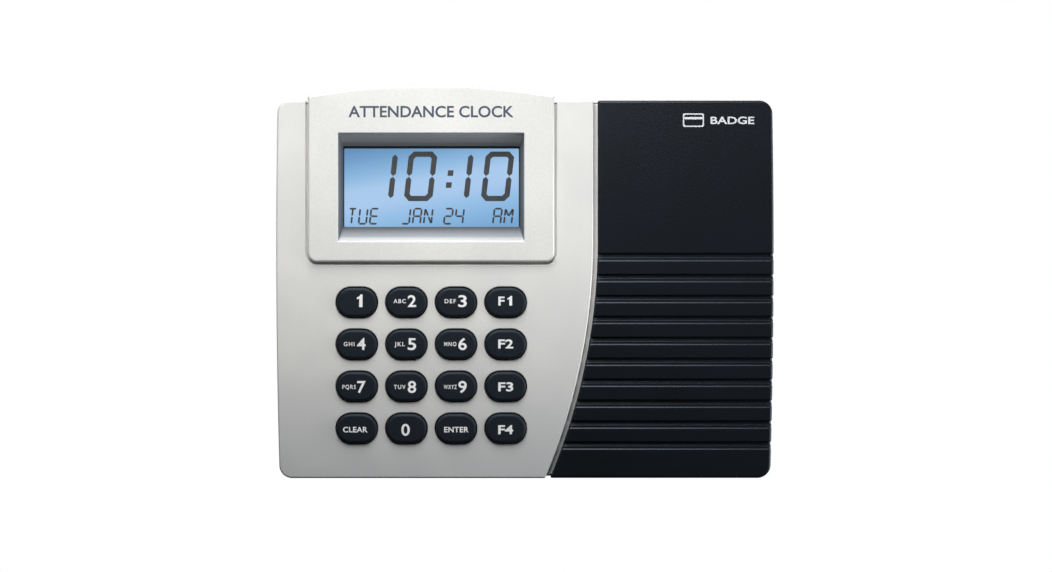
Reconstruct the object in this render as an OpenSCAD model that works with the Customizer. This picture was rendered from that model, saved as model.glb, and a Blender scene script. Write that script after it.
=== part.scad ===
// Wall-mounted electronic time clock with a display, a sixteen-key pad and a badge reader.
// Frame: the origin is the centre of the wall plate's back face, X is to the right seen from
// the front, Z is up, and the clock faces -Y. Depths (names ending in _d) are distances from
// the wall towards the front, so a depth d lies at Y = -d.

/* [Body] */
// Width of the body at its widest point
body_w = 199.2; // [198:0.2:202]
// Height of the body, without the arch over the display
body_h = 151.2; // [150.8:0.2:153]
// Radius of the body's four corners
corner_r = 5.2; // [4.6:0.1:6]
// Radius of the slight outward bow of both sides
bow_r = 3000; // [2500:100:6000]
// Height of the widest point of the bow
bow_z = 15.7; // [10:0.1:20]
// Wall thickness of the plastic mouldings
wall = 2.2; // [2:0.1:2.4]

/* [Depths from the wall] */
// Back rim of the rear case
rim_d = 0.4; // [0.2:0.1:0.6]
// Outer face of the rear case's back wall
back_d = 2.4; // [2.2:0.1:2.6]
// Line where the rear case meets the front mouldings
parting_d = 24.5; // [24:0.1:25]
// Silver front face
face_d = 40; // [39.8:0.1:40.4]
// Raised face of the display bezel
bezel_d = 41.8; // [41.6:0.1:43]
// Floor of the channel between the silver and the black cover
channel_d = 37.2; // [37:0.1:37.4]
// Black face of the reader cover
reader_d = 39; // [38.8:0.1:39.2]

/* [Split between the covers] */
// X of the silver cover's straight upper right edge
split_x = 27.3; // [26.5:0.1:28]
// Height where the edge starts to curve towards the left
split_z = 19.7; // [18:0.1:22]
// Radius of the curved edge
split_r = 245; // [240:1:260]
// Width of the channel between the covers
channel_w = 1.8; // [1.4:0.1:2.2]
// How far the silver ledge runs under the black cover
ledge_w = 8; // [7:0.5:8]

/* [Display] */
// X of the middle of the display bezel and of the keypad
bezel_x = -37.55; // [-38:0.05:-37]
// Width of the display bezel
bezel_w = 98.6; // [98:0.2:99]
// Lower edge of the display bezel
bezel_z0 = 10.9; // [10.5:0.1:12]
// Highest point of the arch
arch_z = 81.7; // [81:0.1:82.5]
// Radius of the arch
arch_r = 280; // [270:5:300]
// Size of the display recess at the bezel's face
recess_w = 74.4; // [74:0.1:76]
recess_h = 43.2; // [43:0.1:43.6]
// Size of the display recess at the lens
view_w = 71.2; // [70.8:0.1:71.6]
view_h = 31.6; // [31:0.1:32]
// Height of the middle of the display
view_z = 40.8; // [40.6:0.1:41]

/* [Keypad] */
// Distance between key centres
pitch_x = 19.85; // [19.8:0.05:20]
pitch_z = 16.8; // [16.6:0.1:17]
// Height of the middle of the keypad
pad_z = -30.5; // [-31:0.1:-30]
// Size of one keyhole
hole_w = 17.1; // [17:0.1:17.4]
hole_h = 12.6; // [12.4:0.1:12.8]
// Clearance round a key in its hole
key_gap = 0.4; // [0.3:0.05:0.5]
// How far a key goes down
key_travel = 1.2; // [1:0.1:1.3]
// How far a key stands above the silver face
key_proud = 1.5; // [1.3:0.1:1.8]

/* [Reader cover] */
// Number of grooves
groove_n = 10; // [8:1:10]
// Distance between grooves
groove_pitch = 8.38; // [8:0.02:8.4]
// Upper edge of the first groove
groove_z = 14.6; // [14:0.1:15]
// Depth and width of a groove
groove_deep = 1.1; // [0.8:0.1:1.2]
groove_wide = 3.6; // [3:0.1:4]

/* [Wall plate] */
// Distance between the wall screw holes, across and up
wall_hole_x = 100; // [96:1:104]
wall_hole_z = 76; // [74:1:80]
// Radius of the wall screw holes
wall_hole_r = 2.25; // [2:0.05:2.5]
// Thickness of the steel plate
plate_t = 1.5; // [1.2:0.1:1.6]

/* [Hidden] */
$fn = 64;
silver = "#c9c9c6";
black = "#23262b";
steel = "#a8abad";
board_green = "#1f5a3a";
key_names = [
    ["key_1", "key_2", "key_3", "key_f1"],
    ["key_4", "key_5", "key_6", "key_f2"],
    ["key_7", "key_8", "key_9", "key_f3"],
    ["key_clear", "key_0", "key_enter", "key_f4"]
];

half_w = body_w / 2;
half_h = body_h / 2;
lens_d = 37.4;          // front face of the lens, which is the floor of the recess
lens_t = 1.4;
seat_d = 38.8;          // floor of the shallow seat that the bezel stands in
seat_gap = 0.8;         // groove left round the bezel in its seat
bezel_r = 3.6;          // lower corners of the bezel
arch_tip_r = 0.9;       // upper corners of the bezel
main_d = 29.6;          // front face of the main board
board_t = 1.6;
interface_d = 9;        // front face of the interface board
reader_board_d = 30.6;  // front face of the reader board
lap_in = 1.2;           // how far the ledge's ends stay inside the body's outline
key_flange_d = face_d - wall - 0.1;
hook_t = 1.5;
hook_stem_h = 5;
hook_finger_h = 11;
hook_points = [[-30, 34], [30, 34], [-30, -14], [30, -14]];
case_screw_points = [[-92, 69], [-92, -69], [92, 69], [92, -69], [19, 69], [-24, -69]];
main_screw_points = [for (x = [-81.5, 6.4]) for (z = [-61, 7.5, 60]) [x, z]];
bezel_screw_points = [for (x = [-44.4, 44.4]) for (z = [16.5, 69.5]) [bezel_x + x, z]];
reader_screw_points = [for (x = [40.4, 86]) for (z = [-22, 58]) [x, z]];
interface_screw_points = [[26, -68], [66.5, -68.5], [26, -20], [82, -20]];
lock_screw_x = [-9, 9];
lock_d = 9;
counterbore_floor_d = 13;

// ---- Outlines, in the plane of the wall ----

// n + 1 points along a circle about c, from angle a0 to a1
function arc(c, r, a0, a1, n) =
    [for (i = [0:n]) let (a = a0 + (a1 - a0) * i / n) c + r * [cos(a), sin(a)]];

// The body's outline moved inwards by t: four corners joined by the bowed sides
function body_points(t) = let (
        bow_x = half_w - bow_r,
        corner = function (z) [bow_x + sqrt(pow(bow_r - corner_r, 2) - pow(z - bow_z, 2)), z],
        top = corner(half_h - corner_r),
        bottom = corner(corner_r - half_h),
        lean_top = asin((top[1] - bow_z) / (bow_r - corner_r)),
        lean_bottom = asin((bottom[1] - bow_z) / (bow_r - corner_r)),
        right = concat(
            arc(bottom, corner_r - t, -90, lean_bottom, 10),
            arc([bow_x, bow_z], bow_r - t, lean_bottom, lean_top, 8),
            arc(top, corner_r - t, lean_top, 90, 10)))
    concat(right, [for (i = [len(right) - 1:-1:0]) [-right[i][0], right[i][1]]]);

// The bezel's outline moved outwards by t: a flat bottom, straight sides and an arched top
function bezel_points(t) = let (
        half = bezel_w / 2 + t,
        low_r = max(bezel_r + t, 0.2),
        tip_r = max(arch_tip_r + t, 0.1),
        arch_c = [0, arch_z - arch_r],
        tip = [half - tip_r, arch_c[1] + sqrt(pow(arch_r + t - tip_r, 2) - pow(half - tip_r, 2))],
        lean = atan2(tip[1] - arch_c[1], tip[0]),
        right = concat(
            arc([half - low_r, bezel_z0 - t + low_r], low_r, -90, 0, 8),
            arc(tip, tip_r, 0, lean, 5),
            [for (p = arc(arch_c, arch_r + t, lean, 90, 12)) if (p[0] > 0.01) p]))
    [for (p = concat(right, [for (i = [len(right) - 1:-1:0]) [-right[i][0], right[i][1]]]))
        p + [bezel_x, 0]];

// The edge between the covers moved right by t, from above the body to below it
function split_points(t) = let (low = asin((split_z + 90) / (split_r + t)))
    concat([[split_x + t, 100]], arc([split_x - split_r, split_z], split_r + t, 0, -low, 36));

module body_2d(t = 0) polygon(body_points(t));
module bezel_2d(t = 0) polygon(bezel_points(t));
module left_of_split(t = 0) polygon(concat(split_points(t), [[-150, -90.3], [-150, 100]]));
module right_of_split(t = 0) polygon(concat(split_points(t), [[150, -90.3], [150, 100]]));

// A bar with two round ends
module stadium_2d(w, h) {
    square([w - h, h], center = true);
    for (side = [-1, 1]) translate([side * (w - h) / 2, 0]) circle(d = h);
}

module rounded_2d(w, h, r) {
    square([w - 2 * r, h], center = true);
    square([w, h - 2 * r], center = true);
    for (x = [-1, 1], z = [-1, 1]) translate([x * (w / 2 - r), z * (h / 2 - r)]) circle(r = r);
}

// ---- Solids placed by their depth from the wall ----

module slab(d0, d1) translate([0, -d0, 0]) rotate([90, 0, 0]) linear_extrude(d1 - d0) children();

// Slab of width w and height h centred on the display
module display_slab(d0, d1, w, h)
    slab(d0, d1) translate([bezel_x, view_z]) square([w, h], center = true);

module rod(p, d0, d1, r) translate([p[0], -d0, p[1]]) rotate([90, 0, 0]) cylinder(r = r, h = d1 - d0);

module block(x0, x1, z0, z1, d0, d1) translate([x0, -d1, z0]) cube([x1 - x0, d1 - d0, z1 - z0]);

// Pan-head screw that points to the front: head behind head_d, shank to tip_d
module screw(p, head_d, tip_d, head_r, shank_r) difference() {
    union() {
        rod(p, head_d - 0.7 * head_r, head_d, head_r);
        rod(p, head_d, tip_d, shank_r);
    }
    for (a = [0, 90]) translate([p[0], -head_d + 0.7 * head_r, p[1]]) rotate([0, a, 0])
        cube([0.22 * head_r, 0.7 * head_r, 1.3 * head_r], center = true);
}

// Four-sided funnel as two crossed wedges, w0 by h0 at depth d0 and w1 by h1 at depth d1,
// run on a little past both depths
module funnel(c, w0, h0, d0, w1, h1, d1) {
    past = 0.5 / (d1 - d0);
    at = function (a, b, t) a + (b - a) * t;
    ends = [-past, 1 + past];
    d = [for (t = ends) -at(d0, d1, t)];
    w = [for (t = ends) at(w0, w1, t) / 2];
    h = [for (t = ends) at(h0, h1, t) / 2];
    intersection() {
        translate([c[0], 0, c[1] - h1]) linear_extrude(2 * h1)
            polygon([[-w[0], d[0]], [w[0], d[0]], [w[1], d[1]], [-w[1], d[1]]]);
        translate([c[0] - w1, 0, c[1]]) rotate([90, 0, 90]) linear_extrude(2 * w1)
            polygon([[d[0], -h[0]], [d[0], h[0]], [d[1], h[1]], [d[1], -h[1]]]);
    }
}

// Round tube swept along a list of points, with eight sides
module tube(path, r) {
    n = len(path);
    ring = function (i) let (
            along = path[min(i + 1, n - 1)] - path[max(i - 1, 0)],
            side = cross(along, [0, 0, 1]),
            u = side / norm(side),
            v = cross(u, along) / norm(along))
        [for (k = [0:7]) path[i] + r * (cos(45 * k) * u + sin(45 * k) * v)];
    polyhedron(
        points = [for (i = [0:n - 1]) each ring(i)],
        faces = concat(
            [[for (k = [0:7]) k]],
            [for (i = [0:n - 2]) for (k = [0:7]) let (m = (k + 1) % 8)
                [8 * i + k, 8 * i + 8 + k, 8 * i + 8 + m, 8 * i + m]],
            [[for (k = [7:-1:0]) 8 * (n - 1) + k]]));
}

// ---- Wall plate and its locking screws ----

// Hook that passes through a slot in the rear case and turns up behind its back wall
module hook(p) {
    block(p[0] - hook_t / 2, p[0] + hook_t / 2, p[1], p[1] + hook_stem_h, plate_t - 0.5, 7);
    block(p[0] - hook_t / 2, p[0] + hook_t / 2, p[1], p[1] + hook_finger_h, 5, 7);
}

module wall_plate() color(steel) difference() {
    union() {
        slab(0, plate_t) rounded_2d(124, 100, 5);
        block(-14, 14, -71.2, -45, 0, plate_t);
        block(-14, 14, -71.2, -71.2 + plate_t, 0, 14);
        for (p = hook_points) hook(p);
        for (x = lock_screw_x) translate([x, -lock_d, -71]) cylinder(r = 2.8, h = 4);
    }
    for (x = [-1, 1], z = [-1, 1])
        rod([x * wall_hole_x / 2, z * wall_hole_z / 2], -1, plate_t + 1, wall_hole_r);
    for (p = hook_points)
        block(p[0] + 1.2, p[0] + 8.2, p[1] - 1, p[1] + hook_finger_h + 1, -1, plate_t + 1);
    for (x = lock_screw_x) translate([x, -lock_d, -75]) cylinder(r = 1.5, h = 10);
}

module lock_screws() color(steel) for (x = lock_screw_x) translate([x, -lock_d, 0]) difference() {
    union() {
        translate([0, 0, -75.3]) cylinder(r = 2.8, h = 1.9);
        translate([0, 0, -73.5]) cylinder(r = 1.45, h = 7.5);
    }
    translate([0, 0, -75.9]) cylinder(r = 1.4, h = 1.6, $fn = 6);
}

// ---- Rear case, its label and the screws that close the housing ----

module outer_2d(t) {
    body_2d(t);
    bezel_2d(-seat_gap - t);
}

module hollow_2d(t) {
    body_2d(t);
    intersection() {
        bezel_2d(-seat_gap - t);
        translate([-100, half_h - 20]) square([200, 40]);
    }
}

module rear_case() color(black) difference() {
    union() {
        difference() {
            slab(rim_d, parting_d) outer_2d(0);
            slab(rim_d - 1, back_d) body_2d(wall);
            slab(back_d + wall, parting_d + 1) hollow_2d(wall);
        }
        for (p = case_screw_points) intersection() {
            rod(p, back_d, parting_d, 4.6);
            slab(back_d, parting_d) body_2d(0.5);
        }
        for (p = interface_screw_points) rod(p, back_d + 1, interface_d - board_t, 3);
        block(-18.5, 18.5, -half_h + 0.5, -59.5, back_d, 18);
    }
    for (p = case_screw_points) {
        rod(p, rim_d - 1, counterbore_floor_d, 3.2);
        rod(p, rim_d - 1, parting_d + 1, 1.75);
    }
    for (p = interface_screw_points) rod(p, back_d + 0.8, interface_d, 1.3);
    for (p = hook_points)
        block(p[0] - 1.5, p[0] + 1.5, p[1] + hook_stem_h - 11.9, p[1] + hook_stem_h + 0.1,
              back_d - 1, back_d + wall + 1);
    block(-16, 16, -71.6, -62, rim_d, 15.8);
    for (x = lock_screw_x) translate([x, -lock_d, -half_h - 1]) {
        cylinder(r = 1.75, h = 8);
        cylinder(r = 3.1, h = 1 + 2.2);
    }
    block(43.7, 60.3, -half_h - 1, -half_h + wall + 1, interface_d - 0.2, 22.7);
    block(73.2, 82.8, -half_h - 1, -half_h + wall + 1, interface_d - 0.2, 20.3);
    for (i = [0:4]) block(28 + 2.6 * i, 29.2 + 2.6 * i, -half_h - 1, -half_h + wall + 1, 10, 17);
}

module rating_label() color("white") slab(back_d - 0.15, back_d)
    translate([-79.5, 0]) rounded_2d(28, 44, 2);

module case_screws() color(steel)
    for (p = case_screw_points) screw(p, counterbore_floor_d, 33, 2.9, 1.45);

// ---- Silver front cover ----

// The strip between two positions of the split, inside the body's outline moved in by t
module strip_2d(from, to, t) intersection() {
    body_2d(t);
    right_of_split(from);
    left_of_split(to);
}

module keyholes() for (column = [0:3], row = [0:3])
    translate([key_x(column), key_z(row)]) stadium_2d(hole_w, hole_h);

function key_x(column) = bezel_x + pitch_x * (column - 1.5);
function key_z(row) = pad_z - pitch_z * (row - 1.5);

module front_cover() color(silver) difference() {
    union() {
        difference() {
            union() {
                slab(parting_d, face_d) intersection() {
                    body_2d();
                    left_of_split();
                }
                slab(parting_d, seat_d) bezel_2d(-seat_gap);
                slab(parting_d, channel_d) strip_2d(-1, channel_w + ledge_w, lap_in);
            }
            slab(parting_d - 1, face_d - wall) intersection() {
                hollow_2d(wall);
                left_of_split(-wall);
            }
            slab(parting_d - 1, channel_d - wall) intersection() {
                body_2d(lap_in + 1.6);
                left_of_split(channel_w + ledge_w + 2);
            }
        }
        slab(seat_d - wall, seat_d) intersection() {
            bezel_2d(seat_gap + wall);
            hollow_2d(1);
        }
        for (p = case_screw_points) if (p[0] < split_x) intersection() {
            rod(p, parting_d, face_d - wall + 0.1, 3.6);
            slab(parting_d, face_d) body_2d(0.5);
        }
        for (p = main_screw_points) rod(p, main_d, face_d - wall + 0.1, 2.5);
    }
    slab(seat_d, face_d + 1) bezel_2d(seat_gap);
    display_slab(seat_d - wall - 1, seat_d + 1, 80, 40.4);
    slab(face_d - wall - 1, face_d + 1) keyholes();
    for (p = case_screw_points) rod(p, parting_d - 1, 34, 1.5);
    for (p = main_screw_points) rod(p, main_d - 1, main_d + 6, 1.05);
    for (p = bezel_screw_points) rod(p, seat_d - wall - 1, seat_d + 1, 1.3);
}

// ---- Display bezel, its screws and the lens ----

module display_bezel() color(silver) difference() {
    union() {
        slab(seat_d, bezel_d) bezel_2d();
        display_slab(lens_d - lens_t, seat_d + 1, 79.4, 39.8);
    }
    difference() {
        slab(seat_d - 1, bezel_d - 2) bezel_2d(-1.8);
        display_slab(seat_d - 3, bezel_d, 79.4, 47.2);
        for (p = bezel_screw_points) rod(p, seat_d - 3, bezel_d, 2.4);
    }
    funnel([bezel_x, view_z], view_w, view_h, lens_d, recess_w, recess_h, bezel_d);
    display_slab(lens_d - lens_t - 1, lens_d, 75, 35.2);
    for (p = bezel_screw_points) rod(p, seat_d - 1, seat_d + 2, 1.05);
}

module bezel_screws() color(steel)
    for (p = bezel_screw_points) screw(p, seat_d - wall, seat_d + 1.8, 2, 1);

module display_lens() color("#cfe3ee80") slab(lens_d - lens_t, lens_d - 0.05)
    translate([bezel_x, view_z]) square([74.8, 35], center = true);

// ---- Black reader cover ----

// Groove with a steep upper flank, a narrow floor and a gently sloping lower flank
module groove(z) rotate([90, 0, 90]) linear_extrude(150) polygon([
    [-reader_d - 1, z], [-reader_d, z], [-reader_d + groove_deep, z - 0.4],
    [-reader_d + groove_deep, z - 1.5], [-reader_d, z - groove_wide], [-reader_d - 1, z - groove_wide]
]);

module reader_cover() color(black) difference() {
    union() {
        difference() {
            slab(parting_d, reader_d) intersection() {
                body_2d();
                right_of_split(channel_w);
            }
            slab(parting_d - 1, reader_d - 2.6) intersection() {
                body_2d(wall);
                right_of_split(channel_w - 1);
            }
            slab(parting_d - 1, channel_d) intersection() {
                body_2d(lap_in - 0.1);
                left_of_split(channel_w + ledge_w + 0.2);
            }
        }
        for (p = case_screw_points) if (p[0] > split_x) intersection() {
            rod(p, parting_d, reader_d - 2.5, 3.6);
            slab(parting_d, reader_d) body_2d(0.5);
        }
        for (p = reader_screw_points) rod(p, reader_board_d, reader_d - 2.5, 2.6);
    }
    for (i = [0:groove_n - 1]) {
        groove(groove_z - groove_pitch * i);
        slab(parting_d + 3, reader_d + 1) intersection() {
            difference() {
                body_2d(-2);
                body_2d(0.4);
            }
            translate([60, groove_z - groove_pitch * i - 2.4]) square([60, 1.8]);
        }
    }
    for (p = case_screw_points) rod(p, parting_d - 1, 34, 1.5);
    for (p = reader_screw_points) rod(p, reader_board_d - 1, reader_board_d + 4.6, 1.05);
}

// ---- Liquid crystal display stack ----

glass_back_d = 32.6;

// Two sheets of glass: the rear one is taller, for the contacts along its edges
module lcd_glass() color("#b9d3ea") {
    display_slab(glass_back_d, glass_back_d + 1.08, 76, 38);
    display_slab(glass_back_d + 1.12, glass_back_d + 2.2, 76, 34);
}

module lcd_polarisers() color("#9fbcd6") {
    display_slab(glass_back_d - 0.2, glass_back_d - 0.02, 74.6, 32.6);
    display_slab(glass_back_d + 2.22, glass_back_d + 2.4, 74.6, 32.6);
}

module lcd_light_guide() color("#eef6fb") slab(main_d + 0.05, glass_back_d - 0.25)
    translate([bezel_x, view_z]) square([73, 31.4], center = true);

module backlight_leds() color("#f4f1c9") for (side = [-1, 1], z = [-10, 0, 10])
    translate([bezel_x + side * 37.4, -main_d - 1.2, view_z + z]) cube([1.4, 2, 3.5], center = true);

module lcd_frame() color(black) difference() {
    slab(main_d + 0.02, glass_back_d + 3.1) translate([bezel_x, view_z]) rounded_2d(81, 43, 1.5);
    display_slab(main_d - 1, glass_back_d + 2.3, 76.6, 38.6);
    display_slab(main_d - 1, glass_back_d + 4, 74.8, 32.8);
}

module zebra_strips() color("#3c3c40") for (side = [-1, 1])
    translate([0, 0, side * 17.7]) display_slab(main_d + 0.04, glass_back_d - 0.02, 72, 2);

// ---- Main board behind the display and the keypad ----

module main_board() color(board_green) difference() {
    slab(main_d - board_t, main_d - 0.02) translate([bezel_x, 0]) rounded_2d(94.4, 129, 2);
    for (p = main_screw_points) rod(p, main_d - 4, main_d + 1, 1.4);
}

module chip(x, z, w, h, t)
    block(x - w / 2, x + w / 2, z - h / 2, z + h / 2, main_d - board_t - t, main_d - board_t - 0.02);

module main_board_chips() color("#1b1b1d") {
    chip(-50, -12, 20, 20, 1.6);
    chip(-18, 6, 12, 18, 1.4);
    chip(-62, 22, 8, 10, 1.6);
    chip(-30, 30, 14, 9, 1.6);
}

module main_board_small_parts() color("#c2a97a") {
    for (i = [0:7]) chip(-70 + 6 * i, -34, 3.2, 1.6, 0.9);
    for (i = [0:5]) chip(-66 + 6 * i, -42, 2, 1.2, 0.8);
    for (i = [0:4]) chip(-34 + 7 * i, 44, 3.2, 1.6, 0.9);
    rod([-66, -4], main_d - board_t - 3.4, main_d - board_t - 0.02, 2.4);
    chip(-32, -10, 11.4, 4.6, 3.4);
}

module main_board_screws() color(steel)
    for (p = main_screw_points) screw(p, main_d - board_t, main_d + 5.6, 2.2, 1);

// ---- Keypad ----

dome_top_d = 33.6;
mat_t = 1.2;
pill_back_d = main_d + 0.1 + key_travel;         // a key's whole travel above the contacts
pill_front_d = dome_top_d - key_travel - 0.2;    // clear of the stem of a pressed key

// Silicone sheet with a hollow dome under every key
module keypad_mat() color("#3a3d42") difference() {
    union() {
        slab(main_d, main_d + mat_t) translate([bezel_x, pad_z])
            rounded_2d(4 * pitch_x - 0.6, 4 * pitch_z - 0.8, 2);
        for (column = [0:3], row = [0:3]) translate([key_x(column), -main_d - mat_t + 0.1, key_z(row)])
            rotate([90, 0, 0]) cylinder(r1 = 5.4, r2 = 3.4, h = dome_top_d - main_d - mat_t + 0.1);
    }
    for (column = [0:3], row = [0:3]) translate([key_x(column), -main_d + 1, key_z(row)])
        rotate([90, 0, 0]) cylinder(r1 = 5.6, r2 = 2.5, h = pill_front_d - main_d + 1);
}

module contact_pills() color("#17181a") for (column = [0:3], row = [0:3])
    rod([key_x(column), key_z(row)], pill_back_d, pill_front_d, 1.8);

module key_contacts() color("#c9a24b") for (column = [0:3], row = [0:3]) difference() {
    rod([key_x(column), key_z(row)], main_d - 0.02, main_d + 0.08, 2.6);
    translate([key_x(column), 0, key_z(row)]) block(-0.25, 0.25, -4, 4, main_d - 1, main_d + 1);
}

// Keycap with the flange that keeps it behind the cover and the stem that presses its dome
module key_cap(column, row) color("#262a31") translate([key_x(column), 0, key_z(row)]) {
    slab(key_flange_d - 0.1, face_d + key_proud) stadium_2d(hole_w - 2 * key_gap, hole_h - 2 * key_gap);
    slab(key_flange_d - 1.2, key_flange_d) stadium_2d(hole_w + 1.8, hole_h + 1.8);
    slab(dome_top_d + 0.1, key_flange_d - 1.1) stadium_2d(8, 5);
}

// ---- Badge reader ----

coil_x = 63;
coil_z = 18;

module reader_board() color(board_green) difference() {
    slab(reader_board_d - board_t, reader_board_d - 0.02) translate([coil_x, coil_z]) rounded_2d(54, 88, 2);
    for (p = reader_screw_points) rod(p, reader_board_d - 4, reader_board_d + 1, 1.4);
}

module antenna_coil() color("#b0703a") slab(reader_board_d, reader_board_d + 2.4)
    translate([coil_x, coil_z]) difference() {
        rounded_2d(42, 70, 9);
        rounded_2d(32, 60, 5);
    }

module reader_module() color("#18191c") slab(reader_board_d - board_t - 6, reader_board_d - board_t - 0.02)
    translate([coil_x, coil_z]) rounded_2d(26, 30, 1.5);

module reader_board_screws() color(steel)
    for (p = reader_screw_points) screw(p, reader_board_d - board_t, reader_board_d + 4.2, 2.2, 1);

// ---- Interface board with the sockets at the lower edge ----

module interface_board() color(board_green) difference() {
    block(22, 86, -72.4, -16, interface_d - board_t, interface_d - 0.02);
    for (p = interface_screw_points) rod(p, interface_d - 4, interface_d + 1, 1.5);
}

module power_jack() color("#1a1a1c") difference() {
    block(73.5, 82.5, -75.4, -61, interface_d, 20);
    translate([78, -interface_d - 5.6, -76]) cylinder(r = 3.15, h = 11);
}

module power_jack_pin() color(steel) translate([78, -interface_d - 5.6, -72.4]) cylinder(r = 1.05, h = 7.4);

// Shielded socket for a flat-latch network plug, open at the bottom
module network_jack() color(steel) difference() {
    block(44, 60, -75.4, -54.4, interface_d, 22.4);
    block(46.1, 57.9, -76, -62, interface_d + 4, 19);
    block(49, 55, -76, -62, 18.9, 21);
}

module beeper() color("#1a1a1c") difference() {
    rod([34.5, -58], interface_d, interface_d + 7, 6);
    rod([34.5, -58], interface_d + 6, interface_d + 8, 1);
}

module coin_cell_holder() color("#1a1a1c") difference() {
    rod([70, -38], interface_d, interface_d + 4.6, 11.4);
    rod([70, -38], interface_d + 1, interface_d + 5, 10.15);
    block(66, 74, -52, -38, interface_d + 1, interface_d + 5);
}

module coin_cell() color("#c8cacc") {
    rod([70, -38], interface_d + 1.02, interface_d + 2.6, 10);
    rod([70, -38], interface_d + 2.6, interface_d + 4.2, 9.2);
}

module capacitors() color("#27364d") {
    rod([50, -44], interface_d + 0.02, interface_d + 11, 4);
    rod([50, -33], interface_d + 0.02, interface_d + 9, 3.2);
    rod([59.5, -24], interface_d + 0.02, interface_d + 7, 2.5);
}

module heat_sink() color(steel) {
    block(24, 42, -49.5, -47.9, interface_d + 0.02, interface_d + 12);
    for (i = [0:5]) block(24 + 3.3 * i, 25.5 + 3.3 * i, -48, -41, interface_d + 0.02, interface_d + 12);
}

module interface_board_screws() color(steel) for (p = interface_screw_points) {
    rod(p, interface_d, interface_d + 1.6, 2.3);
    rod(p, interface_d - 5, interface_d + 0.01, 1.2);
}

// ---- Cables between the boards ----

ribbon_z = -27;
ribbon_w = 12.7;
ribbon_a = [37, 17];    // X and depth where the ribbon crosses the interface board's connector
ribbon_b = [1, 21];     // X and depth where it crosses the main board's connector

module board_headers() color(black) {
    block(ribbon_a[0] - 4, ribbon_a[0] + 4, ribbon_z - 10, ribbon_z + 10, interface_d + 0.02, 14);
    block(ribbon_b[0] - 4, ribbon_b[0] + 4, ribbon_z - 10, ribbon_z + 10, 24, main_d - board_t - 0.02);
}

module ribbon_connectors() color("#2b2d31") difference() {
    for (end = [ribbon_a, ribbon_b])
        block(end[0] - 3.1, end[0] + 3.1, ribbon_z - 8.9, ribbon_z + 8.9, end[1] - 2.96, end[1] + 2.96);
    for (end = [ribbon_a, ribbon_b])
        block(end[0] - 4, end[0] + 4, ribbon_z - ribbon_w / 2 - 0.1, ribbon_z + ribbon_w / 2 + 0.1,
              end[1] - 0.5, end[1] + 0.5);
}

// Flat cable, level in both connectors and smoothly curved between them
module ribbon_cable() color("#9a9ca0") {
    bend = function (x) let (t = min(1, max(0, (x - ribbon_b[0] - 4) / (ribbon_a[0] - ribbon_b[0] - 8))))
        ribbon_b[1] + (ribbon_a[1] - ribbon_b[1]) * t * t * (3 - 2 * t);
    xs = [for (i = [0:20]) ribbon_b[0] - 3.6 + (ribbon_a[0] - ribbon_b[0] + 7.2) * i / 20];
    translate([0, 0, ribbon_z - ribbon_w / 2]) linear_extrude(ribbon_w) polygon(concat(
        [for (x = xs) [x, -bend(x) + 0.45]],
        [for (i = [20:-1:0]) [xs[i], -bend(xs[i]) - 0.45]]));
}

cable_z = -8;

module cable_connectors() color("#e6e2d4") {
    block(0, 6, cable_z - 5, cable_z + 5, 23.4, main_d - board_t - 0.02);
    block(38.5, 44.5, cable_z - 5, cable_z + 5, 24.4, reader_board_d - board_t - 0.02);
}

// Four insulated wires side by side, straight out of both connectors and sagging a little between
module reader_cable() color("#8c2f2b") for (k = [0:3]) tube(concat(
    [[6.01, -25.4, cable_z - 3 + 2 * k]],
    [for (i = [0:12]) let (t = i / 12, sag = pow(sin(180 * t), 2))
        [7.5 + 29.5 * t, -25.4 - 1.2 * t * t * (3 - 2 * t) + 3 * sag, cable_z - 3 + 2 * k - 4 * sag]],
    [[38.49, -26.6, cable_z - 3 + 2 * k]]), 0.65);

// ---- Nodes ----

wall_plate();
lock_screws();
rear_case();
rating_label();
case_screws();
front_cover();
display_bezel();
bezel_screws();
display_lens();
reader_cover();
lcd_glass();
lcd_polarisers();
lcd_light_guide();
backlight_leds();
lcd_frame();
zebra_strips();
main_board();
main_board_chips();
main_board_small_parts();
main_board_screws();
keypad_mat();
contact_pills();
key_contacts();
reader_board();
antenna_coil();
reader_module();
reader_board_screws();
interface_board();
power_jack();
power_jack_pin();
network_jack();
beeper();
coin_cell_holder();
coin_cell();
capacitors();
heat_sink();
interface_board_screws();
board_headers();
ribbon_connectors();
ribbon_cable();
cable_connectors();
reader_cable();
for (row = [0:3], column = [0:3])
    key_cap(column, row);
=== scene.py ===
import math

import bmesh
import bpy
import numpy as np
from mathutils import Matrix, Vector
from mathutils.geometry import tessellate_polygon


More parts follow.
